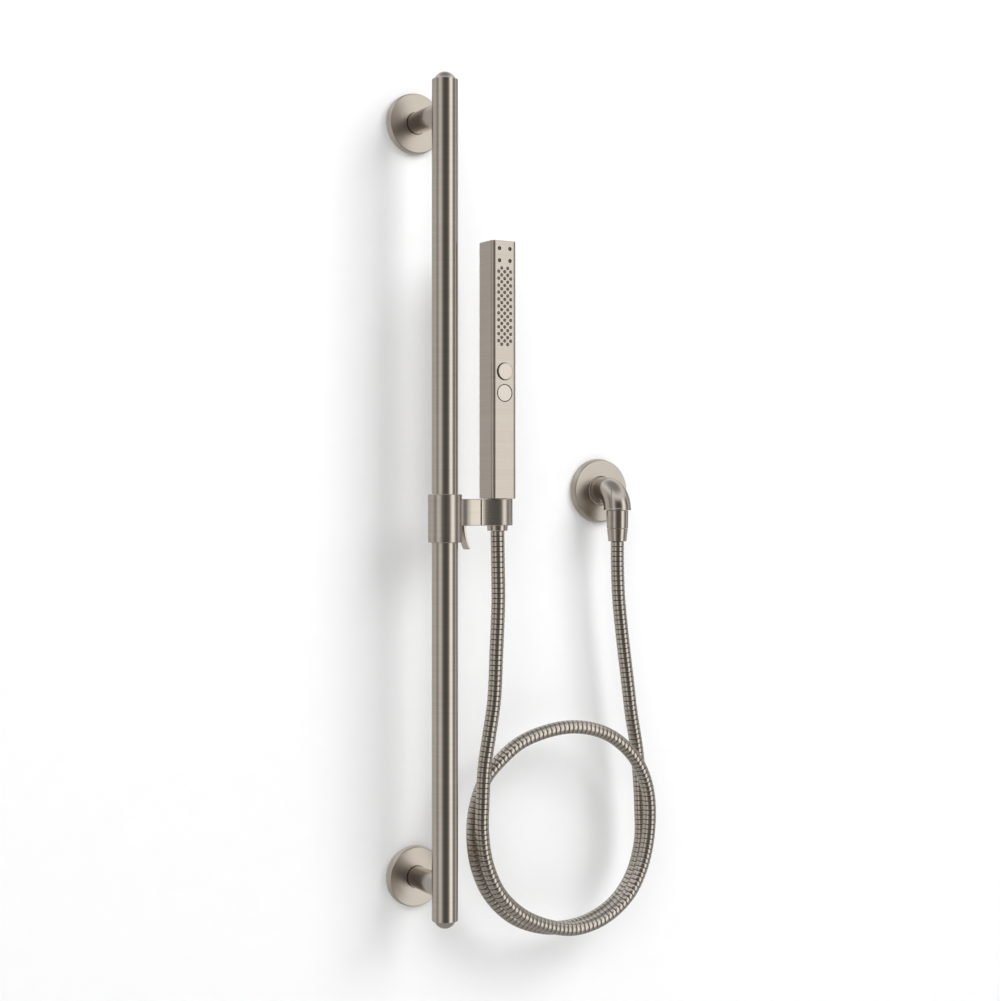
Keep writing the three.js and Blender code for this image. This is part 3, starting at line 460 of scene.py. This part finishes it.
def hose_stretch(name, line, distances, radius, groove, total):
    """A ribbed tube: rings of the given radius about the points of the centre line at the given distances, in
    planes square to it. Both ends close on their own centre."""
    places = at_distances(line, distances)[0]
    ahead = at_distances(line, np.clip(distances + 0.5, 0, total))[0]
    behind = at_distances(line, np.clip(distances - 0.5, 0, total))[0]
    tangent = ahead - behind
    tangent /= np.linalg.norm(tangent, axis=1, keepdims=True)
    side = np.array([0, 1, 0]) - tangent * tangent[:, 1:2]
    side /= np.linalg.norm(side, axis=1, keepdims=True)
    other = np.cross(tangent, side)
    angle = np.arange(HOSE_SIDES) / HOSE_SIDES * FULL_TURN
    ring = side[:, None] * np.cos(angle)[None, :, None] + other[:, None] * np.sin(angle)[None, :, None]
    grid = places[:, None] + ring * radius[:, None, None]
    ends = [np.repeat(places[k][None, None], HOSE_SIDES, axis=1) for k in (0, -1)]
    # the groove mark sets the painted groove shade; the closed ends count as deepest in the groove
    marks = np.repeat(np.concatenate([[1], groove, [1]]), HOSE_SIDES)
    return skins(name, np.concatenate([ends[0], grid, ends[1]])[None], marks={"groove": marks}), places


def build_hose():
    """Cuts the ringed hose in six stretches at ring grooves. bends lists the joints that each stretch would
    follow, but is not used.
    """
    line = curve_through(HOSE_ROUTE)
    total = at_distances(line, np.zeros(1))[1]
    rings = round(total / RING_PITCH)
    pitch = total / rings
    grooves = at_distances(line, np.arange(rings + 1) * pitch)[0]
    cuts = [int(np.argmin(np.linalg.norm(grooves - np.array(place, float), axis=1))) for place in CROSSINGS]
    seams = [0, SHORT_STRETCH, 2 * SHORT_STRETCH, 3 * SHORT_STRETCH, *cuts, rings]
    seam_points = grooves[seams] * MM
    far = np.array([0, 5.0, 0])  # so long a bend that the whole stretch would move half as far as the slide; bends is not used
    half_slide_start = seam_points[3], 2 * seam_points[4] - seam_points[3]
    half_slide_end = 2 * seam_points[5] - seam_points[6], seam_points[6]
    middle = np.array([0, BAR[1] * MM, 0])
    bends = [
        ("hand_shower", "cradle", seam_points[0], seam_points[1]),
        ("cradle", "bracket", seam_points[1], seam_points[2]),
        ("bracket", "bush_sleeve", seam_points[2], seam_points[3]),
        ("bush_sleeve", "wall_set", *half_slide_start),
        ("bush_sleeve", "wall_set", middle - far, middle + far),
        ("bush_sleeve", "wall_set", *half_slide_end),
    ]
    strip = hose_nickel()
    for number, (first, last, bend) in enumerate(zip(seams, seams[1:], bends), 1):
        section = np.vstack([np.tile(RING_SECTION, (last - first, 1)), RING_SECTION[:1]])
        share, radius, groove = section.T
        turn = np.concatenate([np.repeat(np.arange(first, last), len(RING_SECTION)), [last]])
        distances = np.minimum((turn + share) * pitch, total)
        piece, places = hose_stretch(f"hose_stretch_{number}", line, distances, radius, groove, total)
        show(piece, None, "satin_nickel", strip, "hose")
        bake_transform(piece)
        tuple(places[0] * MM)
        (last - first) * pitch * MM
        (places * MM).tolist()


# ---------------------------------------------------------------- slide bar and wall fixings

def build_bar():
    wall = 1.5
    low, high = bar_low[2], bar_high[2]
    bar = turned("slide_bar", [
        (BAR_RADIUS - wall, low, 0.2), (BAR_RADIUS, low, 0.8), (BAR_RADIUS, high, 0.8),
        (BAR_RADIUS - wall, high, 0.2)], (BAR[0], BAR[1], 0), ring=True, sides=120)
    show(bar, "wall_set", "satin_nickel", level_nickel, "bar_tube")


def build_caps():
    """Domes: a slice of a sphere over a short lip, with a stem that plugs into the bar."""
    lathe = nickel_from_lines("cap_turned_nickel", rings_about(BAR, UP))
    for level, sign, end in (("upper", 1, bar_high[2]), ("lower", -1, bar_low[2])):
        crown = abs(span(f"{level}_end_cap")[1 if sign > 0 else 0][2] - end) - 0.3
        sphere = (CAP_RADIUS**2 + crown**2) / (2 * crown)
        angle = np.linspace(math.asin(CAP_RADIUS / sphere), 0, 16)
        dome = np.stack([sphere * np.sin(angle), crown - sphere * (1 - np.cos(angle))], axis=-1)
        stem = rounded([
            (0, -13.5), (9.6, -13.5, 0.6), (11.0, -0.4, 0.3), (11.1, 0, 0.25), (CAP_RADIUS, 0.0, 0)])
        profile = np.vstack([stem, dome]) * (1, sign)
        grid = turned_grid(profile, 96) + np.array([BAR[0], BAR[1], end + 0.3 * sign])
        cap = skins(f"{level}_domed_cap", grid[None])
        show(cap, "wall_set", "satin_nickel", lathe, f"{level}_end_cap")


def build_posts():
    """Each post is a cone, r from root to tip, cut by the bar: at the angle a its end lies at the depth
    reach - sqrt(R^2 - (r cos a)^2), with R the bar's radius, and closes on its axis along the bar's curve."""
    root, tip, start, reach = 10.8, 11.5, 4.3, -float(BAR[1])
    outer = BAR_RADIUS + 0.03
    angle = np.arange(96) / 96 * FULL_TURN
    along = np.concatenate([[0.01, 0.02], np.linspace(0.1, 0.96, 16), [0.99, 1]])
    share = np.concatenate([[0, 0], along])
    side = np.concatenate([[0, root - 0.3], root + (tip - root) * np.clip(along / 0.8, 0, 1)])[:, None]
    close = np.linspace(0.97, 0, 8)[:, None] * tip
    side_end, close_end = (reach - np.sqrt(outer**2 - (r * np.cos(angle)) ** 2) for r in (side, close))
    r = np.vstack([side, close])
    h = np.vstack([start + (side_end - start) * share[:, None], close_end])
    for level, z in POSTS.items():
        grid = np.stack([r * np.cos(angle), -h, r * np.sin(angle) + z], axis=-1)
        lathe = nickel_from_lines(f"{level}_post_nickel", rings_about((0, 0, z), OUT))
        show(skins(f"{level}_bar_post", grid[None]), "wall_set", "satin_nickel", lathe, f"{level}_post")


COVER_DEPTH = 7.8


def build_cover(name, node, base, face, hole, place):
    """A pressed cover: a flat face, a soft shoulder, and a skirt to the wall."""
    depth = COVER_DEPTH
    inner = depth - 2
    skirt = base - 2.2
    lathe = nickel_from_lines(f"{name}_nickel", rings_about(place, OUT), 0.32)
    piece = turned(name, [
        (hole, inner, 0.2), (skirt, inner, 0.5), (skirt, 0, 0.1), (base, 0, 0.2), (base, 2.3, 0.5),
        (face + 0.3, depth - 1.0, 0.5), (face - 0.5, depth, 0.5), (hole, depth, 0.06),
    ], place, OUT, sides=128, ring=True)
    show(piece, "wall_set", "satin_nickel", lathe, node)


def build_wall_fixings():
    for level, z in POSTS.items():
        build_cover(f"{level}_cover", f"{level}_flange", 30.6, 29.9, 11.4, (0, 0, z))
    build_posts()


# ---------------------------------------------------------------- bracket

def build_bracket():
    for node, name, edge, body, nickel in (
            ("bracket_body", "bracket_casting", 0.35, "bracket", bracket_nickel),
            ("brake_lever", "brake_blade", 0.3, "lever", cast_nickel),
            ("cradle", "cradle_socket", 0.35, "cradle", cradle_nickel)):
        show(smooth_copy(node, name, edge), body, "satin_nickel", nickel, node)


# ---------------------------------------------------------------- hand shower

CORNER = 4.0
SHELL_WALL = 2.0
NOZZLE_HOLE, JET_HOLE, BUTTON_HOLE = 1.6, 1.9, 8.75
BUTTON_RADIUS, BUTTON_THICKNESS, STEM_RADIUS = 8.2, 4.2, 2.0
BUTTON_PROUD = {"upper": 2.1, "lower": 0.1}  # how far each face stands out of the shell
NOZZLE_PITCH, NOZZLE_ROWS, JET_PITCH = 6.87, 12, 12.0
first_row, jets_height = float(hand_high[2]) - 27.4, float(hand_high[2]) - 13.9
COLUMNS_OF_TWO, COLUMNS_OF_THREE = np.array([-0.5, 0.5]), np.array([-1.0, 0.0, 1.0])


def nozzle_grid(columns, rows, start):
    """Places (x, 0, z) of rows of nozzles one pitch apart, from a height down."""
    x, z = np.meshgrid(columns * NOZZLE_PITCH, start - np.arange(rows) * NOZZLE_PITCH)
    return np.stack([HAND[0] + x.ravel(), 0 * x.ravel(), z.ravel()], axis=-1)


nozzles = np.vstack([nozzle_grid(COLUMNS_OF_TWO, NOZZLE_ROWS, first_row),
                     nozzle_grid(COLUMNS_OF_THREE, NOZZLE_ROWS - 1, first_row - NOZZLE_PITCH / 2)])
jets = np.array([[HAND[0] + x * JET_PITCH, 0, jets_height + z * JET_PITCH]
                 for x in (-0.5, 0.5) for z in (-0.5, 0.5)])
buttons = np.array([[HAND[0], 0, centre(f"{level}_button")[2]] for level in BUTTON_PROUD])


def square_loops(half_width, half_depth, corner, scale, height):
    """Loops of a square with round corners, one for each height. A corner is the arc c + r (cos a, sin a)
    about its centre c, with one point more on the flats at each side; scale 0 shrinks a loop to a pole."""
    angle = np.concatenate([[0], np.linspace(0, 1, 9), [1]]) * QUARTER
    slide = np.concatenate([[-0.3], np.zeros(9), [0.3]])
    turn = np.arange(4)[:, None] * QUARTER
    a = (turn + angle).ravel()
    slip = np.tile(slide, 4)
    sign_x = np.repeat([1, -1, -1, 1], len(angle))
    sign_y = np.repeat([1, 1, -1, -1], len(angle))
    w, d, r, s, z = (np.array(v, float)[:, None] for v in (half_width, half_depth, corner, scale, height))
    x = sign_x * (w - r) + r * np.cos(a) - slip * np.sin(a)
    y = sign_y * (d - r) + r * np.sin(a) + slip * np.cos(a)
    return np.stack([x * s, y * s, z + 0 * a], axis=-1)


def hand_skin():
    """The hand shower's shell as one closed skin: roof and walls inside, foot rim, outside and top."""
    w, d = (hand_high[:2] - hand_low[:2]) / 2
    height = hand_high[2] - hand_low[2]
    edge, roof = 0.6, height - 2.5
    a = np.linspace(0, QUARTER, 6)
    foot_inset, foot_up = edge * (1 - np.sin(a)), edge * (1 - np.cos(a))
    inside = [(w - SHELL_WALL, d - SHELL_WALL, 1.0, scale, up)
              for scale, up in ((0, roof), (1, roof), (1, roof - 0.3), (1, 0.3), (1, 0.0))]
    foot = [(w - i, d - i, CORNER - i, 1, u) for i, u in zip(foot_inset, foot_up)]
    sides = [(w, d, CORNER, 1, edge + 0.3), (w, d, CORNER, 1, height - edge - 0.3)]
    top = [(w - i, d - i, CORNER - i, 1, height - u) for i, u in zip(foot_inset[::-1], foot_up[::-1])]
    lid = [(w - edge - 0.3, d - edge - 0.3, CORNER - edge, 1, height),
           (w - edge, d - edge, CORNER - edge, 0, height)]
    grid = square_loops(*zip(*(inside + foot + sides + top + lid)))
    return skins("hand_shower_body", grid[None] + np.array([HAND[0], HAND[1], hand_low[2]]))


def holes(name, places, radius, sides):
    """Rods that cut the holes of the front wall."""
    front = -FRONT
    profile = [(0, front - 3.2), (radius, front - 3.2), (radius, front + 1), (0, front + 1)]
    return many_turned(name, profile, places, OUT, sides)


def cut_by(piece, cutters):
    """Takes closed cutters away from a piece, and removes them."""
    for cutter in cutters:
        tool = piece.modifiers.new(cutter.name, "BOOLEAN")
        tool.object, tool.operation, tool.solver = cutter, "DIFFERENCE", "EXACT"
    settled = bpy.data.meshes.new_from_object(piece.evaluated_get(bpy.context.evaluated_depsgraph_get()))
    piece.modifiers.clear()
    old, piece.data = piece.data, settled
    bpy.data.meshes.remove(old)
    for cutter in cutters:
        bpy.data.meshes.remove(cutter.data)
    piece.data.shade_smooth()
    piece.data.set_sharp_from_angle(angle=SHARP)


def build_hand_shell():
    shell = hand_skin()
    cut_by(shell, [holes("nozzle_holes", nozzles, NOZZLE_HOLE, 20), holes("jet_holes", jets, JET_HOLE, 24),
                   holes("button_holes", buttons, BUTTON_HOLE, 72)])
    edge = shell.modifiers.new("hole_edge", "BEVEL")
    edge.width, edge.segments = 0.12 * MM, 1
    edge.limit_method, edge.angle_limit = "ANGLE", math.radians(60)
    shell.modifiers.new("flats", "WEIGHTED_NORMAL").keep_sharp = True
    show(shell, "hand_shower", "satin_nickel", hand_nickel, "hand_shell")


def build_nozzles():
    """A flat pad behind the shell's front wall, and its tips in the holes."""
    pad_low, pad_high = span("nozzle_pad")
    front, thickness, bevel = -FRONT - SHELL_WALL - 0.3, 2.4, 0.4
    back = front - thickness
    # The pad lies deeper than the painted shade's full depth, so it is painted dark all over; the recessed
    # jet tips are partly painted dark.
    silicone = nozzle_silicone_and_hole_shade(FRONT, 1.6)
    inset = np.array([bevel, 0.0, 0.0, bevel])
    half_width, half_height = (pad_high[0] - pad_low[0]) / 2, (pad_high[2] - pad_low[2]) / 2
    loops = square_loops(half_width - inset, half_height - inset, 1.2 - inset, np.ones(4),
                         np.array([front, front - bevel, back + bevel, back]))
    loops = np.concatenate([loops[:1] * (0, 0, 1), loops, loops[-1:] * (0, 0, 1)])
    middle = np.array([HAND[0], 0, (pad_low[2] + pad_high[2]) / 2])
    plate = skins("nozzle_plate", (loops @ OUT + middle)[None])
    show(plate, "hand_shower", "silicone", silicone, "nozzle_pad")
    for name, places, r, reach in (("nozzle_tips", nozzles, 1.0, 0.5), ("jet_tips", jets, 1.1, -0.6)):
        end = -FRONT + reach
        profile = [(0, front - 0.5), (r + 0.2, front - 0.5), (r + 0.02, front + 1), (r, end - 0.25),
                   (r - 0.2, end), (0.42, end), (0.34, end - 0.3), (0, end - 0.3)]
        show(many_turned(name, profile, places, OUT, 14), "hand_shower", "silicone", silicone, "nozzle_pad")


def build_buttons():
    for level, proud in BUTTON_PROUD.items():
        face, back = -FRONT + proud, -FRONT + proud - BUTTON_THICKNESS
        stem_end = -span(f"{level}_button")[1][1]
        place = (HAND[0], 0, centre(f"{level}_button")[2])
        lathe = nickel_from_lines(f"{level}_button_nickel", rings_about(place, OUT), 0.2, 0.012)
        button = turned(f"{level}_selector", [
            (0, stem_end), (STEM_RADIUS, stem_end, 0.2), (STEM_RADIUS, back, 0.2),
            (BUTTON_RADIUS, back, 0.3), (BUTTON_RADIUS, face, 0.55), (0, face)], place, OUT, sides=96)
        show(button, f"{level}_button", "satin_nickel", lathe, f"{level}_button")


def build_button_springs():
    """A wire round each stem: its angle grows with the distance along the spring, which runs from its seat at
    the rear to the front end of the spring's part."""
    turns, radius, wire, sides = 3, 3.6, 0.3, 10
    steel = worked_metal("spring_steel", *STEEL)
    share = np.linspace(0, 1, 121)
    angle = share * turns * FULL_TURN
    outward = np.stack([np.cos(angle), 0 * angle, np.sin(angle)], axis=-1)
    around = (np.arange(sides) / sides * FULL_TURN)[None, :, None]
    ring = outward[:, None] * np.cos(around) + np.array([0, 1, 0]) * np.sin(around)
    for level in BUTTON_PROUD:
        low, high = span(f"{level}_button_spring")
        rear = np.array([HAND[0], high[1], (low[2] + high[2]) / 2])
        front = rear + (0, low[1] - high[1], 0)
        line = radius * outward + rear + (0, -wire, 0) + share[:, None] * (front - rear + (0, 2 * wire, 0))
        ends = [np.repeat(line[k][None, None], sides, axis=1) for k in (0, -1)]
        grid = np.concatenate([ends[0], line[:, None] + wire * ring, ends[1]])
        coil = skins(f"{level}_spring_wire", grid[None])
        show(coil, None, "steel", steel, f"{level}_button_spring")
        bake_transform(coil)


def build_hand_nut():
    """Cone nut: its side runs straight from the wide top to the foot, with a soft edge at each end."""
    top, foot = span("hand_hose_nut")[1][2], span("hand_hose_nut")[0][2]
    lathe = nickel_from_lines("cone_nut_nickel", rings_about((HAND[0], BAR[1], 0), UP), 0.16)
    nut = turned("cone_nut", [
        (7.6, foot, 0.15), (10.05, foot, 0.45), (12.2, top, 0.4), (9.9, top, 0.2), (9.9, top - 13.6, 0.2),
        (7.6, top - 13.6, 0.2)], (HAND[0], BAR[1], 0), sides=96, ring=True)
    show(nut, "hose_nut", "satin_nickel", lathe, "hand_hose_nut")


# ---------------------------------------------------------------- supply elbow

BEND = 20.0


def elbow_path(s):
    """Straight out of the wall, round a quarter circle and straight down. Gives the point at the distance s
    and the direction across the path there, in the plane of the bend."""
    straight = ELBOW_REACH - BEND
    a = np.clip((s - straight) / BEND, 0, QUARTER)
    rest = np.maximum(s - straight - BEND * QUARTER, 0)
    y = -(np.minimum(s, straight) + BEND * np.sin(a))
    z = -(BEND * (1 - np.cos(a)) + rest)
    return np.stack([0 * s, y, z], axis=-1), np.stack([0 * s, -np.sin(a), np.cos(a)], axis=-1)


def build_elbow():
    """The body is its own profile, radius against distance, carried along the elbow's path."""
    root, body = 15.0, 14.3
    outlet = ELBOW_REACH - BEND + BEND * QUARTER + 0.7
    bend = [(body, s) for s in np.linspace(ELBOW_REACH - BEND - 1, outlet - 2.6, 26)]
    profile = rounded([
        (0, 14), (10.2, 14, 0.3), (10.2, 0, 0.3), (root, 0, 0.2), (root, 3.9, 0.15), (root - 1.1, 3.9, 0.1),
        (root - 1.1, 6.3, 0.1), (root, 6.3, 0.2), (root, 9.3, 1.0), (body, 14, 1.0), *bend,
        (body + 0.1, outlet - 1.7, 0.1), (body + 0.42, outlet - 0.9, 0.3), (body + 0.3, outlet, 0.25),
        (9.6, outlet, 0.1), (9.6, outlet + 10, 0.4), (0, outlet + 10)])
    points, rise = elbow_path(profile[:, 1])
    angle = np.arange(96) / 96 * FULL_TURN
    grid = (points[:, None] + profile[:, :1, None] * (
        np.array([1, 0, 0]) * np.cos(angle)[None, :, None] + rise[:, None] * np.sin(angle)[None, :, None]))
    elbow_nickel = nickel_from_lines("elbow_nickel", plain_satin, 0.15, 0.004)
    show(skins("supply_elbow", (grid + ELBOW)[None]), "wall_set", "satin_nickel", elbow_nickel, "elbow_body")
    build_cover("supply_cover", "elbow_flange", 34.3, 32.8, 16.0, tuple(ELBOW))


def build_supply_nut():
    foot_place = (ELBOW[0], -ELBOW_REACH, 0)
    lathe = nickel_from_lines("supply_nut_nickel", rings_about(foot_place, UP), 0.16)
    low, high = (span("elbow_hose_nut")[k][2] for k in (0, 1))
    nut = turned("supply_nut", [
        (7.6, low, 0.15), (11.3, low, 0.45), (11.6, high, 0.45), (9.9, high, 0.15), (9.9, low + 4, 0.2),
        (7.6, low + 4, 0.2)], foot_place, sides=96, ring=True)
    show(nut, "wall_set", "satin_nickel", lathe, "elbow_hose_nut")
    low, high = (span("elbow_hose_sleeve")[k][2] for k in (0, 1))
    sleeve = turned("supply_sleeve", [
        (7.6, low, 0.15), (9.6, low, 0.45), (11.0, high, 0.45), (7.6, high, 0.15)],
        foot_place, sides=96, ring=True)
    show(sleeve, "wall_set", "satin_nickel", lathe, "elbow_hose_sleeve")


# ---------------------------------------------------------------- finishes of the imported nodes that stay

def finish_packed_nodes():
    finishes = {
        "satin_nickel": level_nickel,
        "steel": worked_metal("stainless_steel", *STEEL),
        "brass": worked_metal(
            "machined_brass", (0.58, 0.42, 0.18), (0.72, 0.55, 0.27), 0.26, (200, 200, 1600)),
        "white_plastic": moulded("white_acetal", (0.66, 0.66, 0.63), (0.80, 0.80, 0.77), 0.45),
        "black_plastic": moulded("black_nylon", (0.012, 0.012, 0.013), (0.03, 0.03, 0.032), 0.5),
        "silicone": moulded("grey_silicone", (0.20, 0.18, 0.16), (0.30, 0.27, 0.24), 0.6),
        "rubber": moulded(
            "black_rubber", (0.010, 0.010, 0.010), (0.028, 0.027, 0.026), 0.7, 900.0, 0.02),
    }
    for part in frame["record"]["subparts"]:
        node = frame["nodes"][part["node"]]
        node.data.materials.clear()
        node.data.materials.append(finishes[part["material_slot"]])


# ---------------------------------------------------------------- stage, light and camera

TURN = math.radians(30.31)
CAMERA_PLACE = (-0.8266, -1.5887, -0.38145)
LENS, SENSOR = 63.42, 36.0
WALL_PLACE, FLOOR_PLACE = 0.0008, -1.3
AIM = (0.1, 0, -0.4)
# Light in a level ring round the set: degrees to the right of the camera, and the studio's brightness there.
STUDIO_RING = (
    (-180, 0.54), (-150, 0.50), (-120, 0.48), (-95, 0.58), (-82, 0.48), (-70, 0.28), (-60, 0.34),
    (-50, 0.66), (-38, 0.68), (-29, 0.60), (-20, 0.26), (-10, 0.13), (8, 0.085), (22, 0.11), (33, 0.17),
    (41, 0.58), (48, 1.08), (58, 1.30), (65, 1.12), (73, 0.62), (82, 0.24), (92, 0.13), (100, 0.42),
    (110, 0.60), (122, 0.34), (138, 0.36), (158, 0.50), (180, 0.54))


def stage_plane(name, corners, material):
    mesh = bpy.data.meshes.new(name)
    mesh.from_pydata(corners, [], [(0, 1, 2, 3)])
    mesh.materials.append(material)
    plane = bpy.data.objects.new(name, mesh)
    bpy.context.scene.collection.objects.link(plane)
    plane.visible_glossy = False


def build_stage():
    """A white wall that shows only from the room, and a pale floor."""
    wall_paint, r = new_recipe("white_wall")
    grain = r.noise(r.place(), 40.0, 2.0)
    behind = r.add("NewGeometry", {}, {}, "Backfacing")
    paint = r.add("BsdfPrincipled", {}, {
        "Base Color": r.mix(grain, (0.90, 0.90, 0.905), (0.92, 0.92, 0.925)), "Roughness": 0.9,
        "Specular IOR Level": 0.0})
    clear = r.add("BsdfTransparent", {}, {})
    r.add("OutputMaterial", {}, {"Surface": r.add("MixShader", {}, {0: behind, 1: paint, 2: clear})})
    y, z = WALL_PLACE, FLOOR_PLACE
    stage_plane("wall", [(-3, y, z), (3, y, z), (3, y, 2.2), (-3, y, 2.2)], wall_paint)
    floor_paint, r = new_recipe("pale_floor")
    speckle = r.mix(r.noise(r.place(), 12.0, 3.0), (0.78, 0.78, 0.77), (0.84, 0.84, 0.83))
    r.surface(Base_Color=speckle, Roughness=0.8)
    stage_plane("floor", [(-4, -4, z), (4, -4, z), (4, 3, z), (-4, 3, z)], floor_paint)


def build_world():
    """Soft studio light: a level ring of light and dark screens, a pale ceiling that dims overhead, and a
    dimmer ground. A dark screen is warmer than a light one."""
    world = bpy.data.worlds.new("studio")
    bpy.context.scene.world = world
    world.use_nodes = True
    r = Recipe(world.node_tree)
    x, y, z = r.parts(r.add("TexCoord", {}, {}, "Generated"))
    right = x * math.cos(TURN) - y * math.sin(TURN)
    towards = -(x * math.sin(TURN) + y * math.cos(TURN))
    share = r.math("ARCTAN2", right, towards) * (1 / FULL_TURN) + 0.5
    tint = np.array([1.0, 0.985, 0.965])
    stops = [(degrees / 360 + 0.5, tuple(level * tint ** (2.2 if level < 0.2 else 1.0)))
             for degrees, level in STUDIO_RING]
    ring = r.add("ValToRGB", {"stops": stops}, {"Fac": share})
    high, over, low = r.smooth(z, 0.35, 0.7), r.smooth(z, 0.7, 0.98), r.smooth(-z, 0.35, 0.8)
    ceiling = r.mix(over, (0.80, 0.81, 0.83), (0.30, 0.30, 0.305))
    light = r.mix(low, r.mix(high, ring, ceiling), (0.34, 0.335, 0.33))
    seen = r.add("LightPath", {}, {}, "Is Camera Ray")
    shown = r.mix(seen, light, (0.93, 0.93, 0.935))
    back = r.add("Background", {}, {"Color": shown, "Strength": 1.0})
    r.add("OutputWorld", {}, {"Surface": back})


def area_light(name, place, size, watts):
    """A square lamp aimed at the set. It lights surfaces and shows in no reflection."""
    lamp = bpy.data.lights.new(name, "AREA")
    lamp.shape, lamp.size, lamp.size_y, lamp.energy = "RECTANGLE", size, size, watts
    holder = bpy.data.objects.new(name, lamp)
    holder.location = place
    direction = np.array(AIM, float) - np.array(place, float)
    yaw = math.atan2(direction[0], direction[1])
    pitch = math.atan2(direction[2], math.hypot(direction[0], direction[1]))
    holder.rotation_euler = (QUARTER + pitch, 0, -yaw)
    holder.visible_glossy = False
    bpy.context.scene.collection.objects.link(holder)


def build_camera():
    lens = bpy.data.cameras.new("camera")
    lens.sensor_fit, lens.sensor_width, lens.lens = "HORIZONTAL", SENSOR, LENS
    lens.clip_start, lens.clip_end = 0.05, 50
    camera = bpy.data.objects.new("camera", lens)
    camera.location = CAMERA_PLACE
    camera.rotation_euler = (QUARTER, 0, -TURN)
    bpy.context.scene.collection.objects.link(camera)
    bpy.context.scene.camera = camera


build_camera()
build_hose()
build_bar()
build_caps()
build_wall_fixings()
build_bracket()
build_hand_shell()
build_nozzles()
build_buttons()
build_button_springs()
build_hand_nut()
build_elbow()
build_supply_nut()
finish_packed_nodes()
build_stage()
build_world()
area_light("key", (1.5, -2.2, 1.3), 1.8, 54)
area_light("fill", (-1.5, -2.3, 0.7), 1.6, 20)
bpy.context.scene.view_settings.view_transform = "Standard"
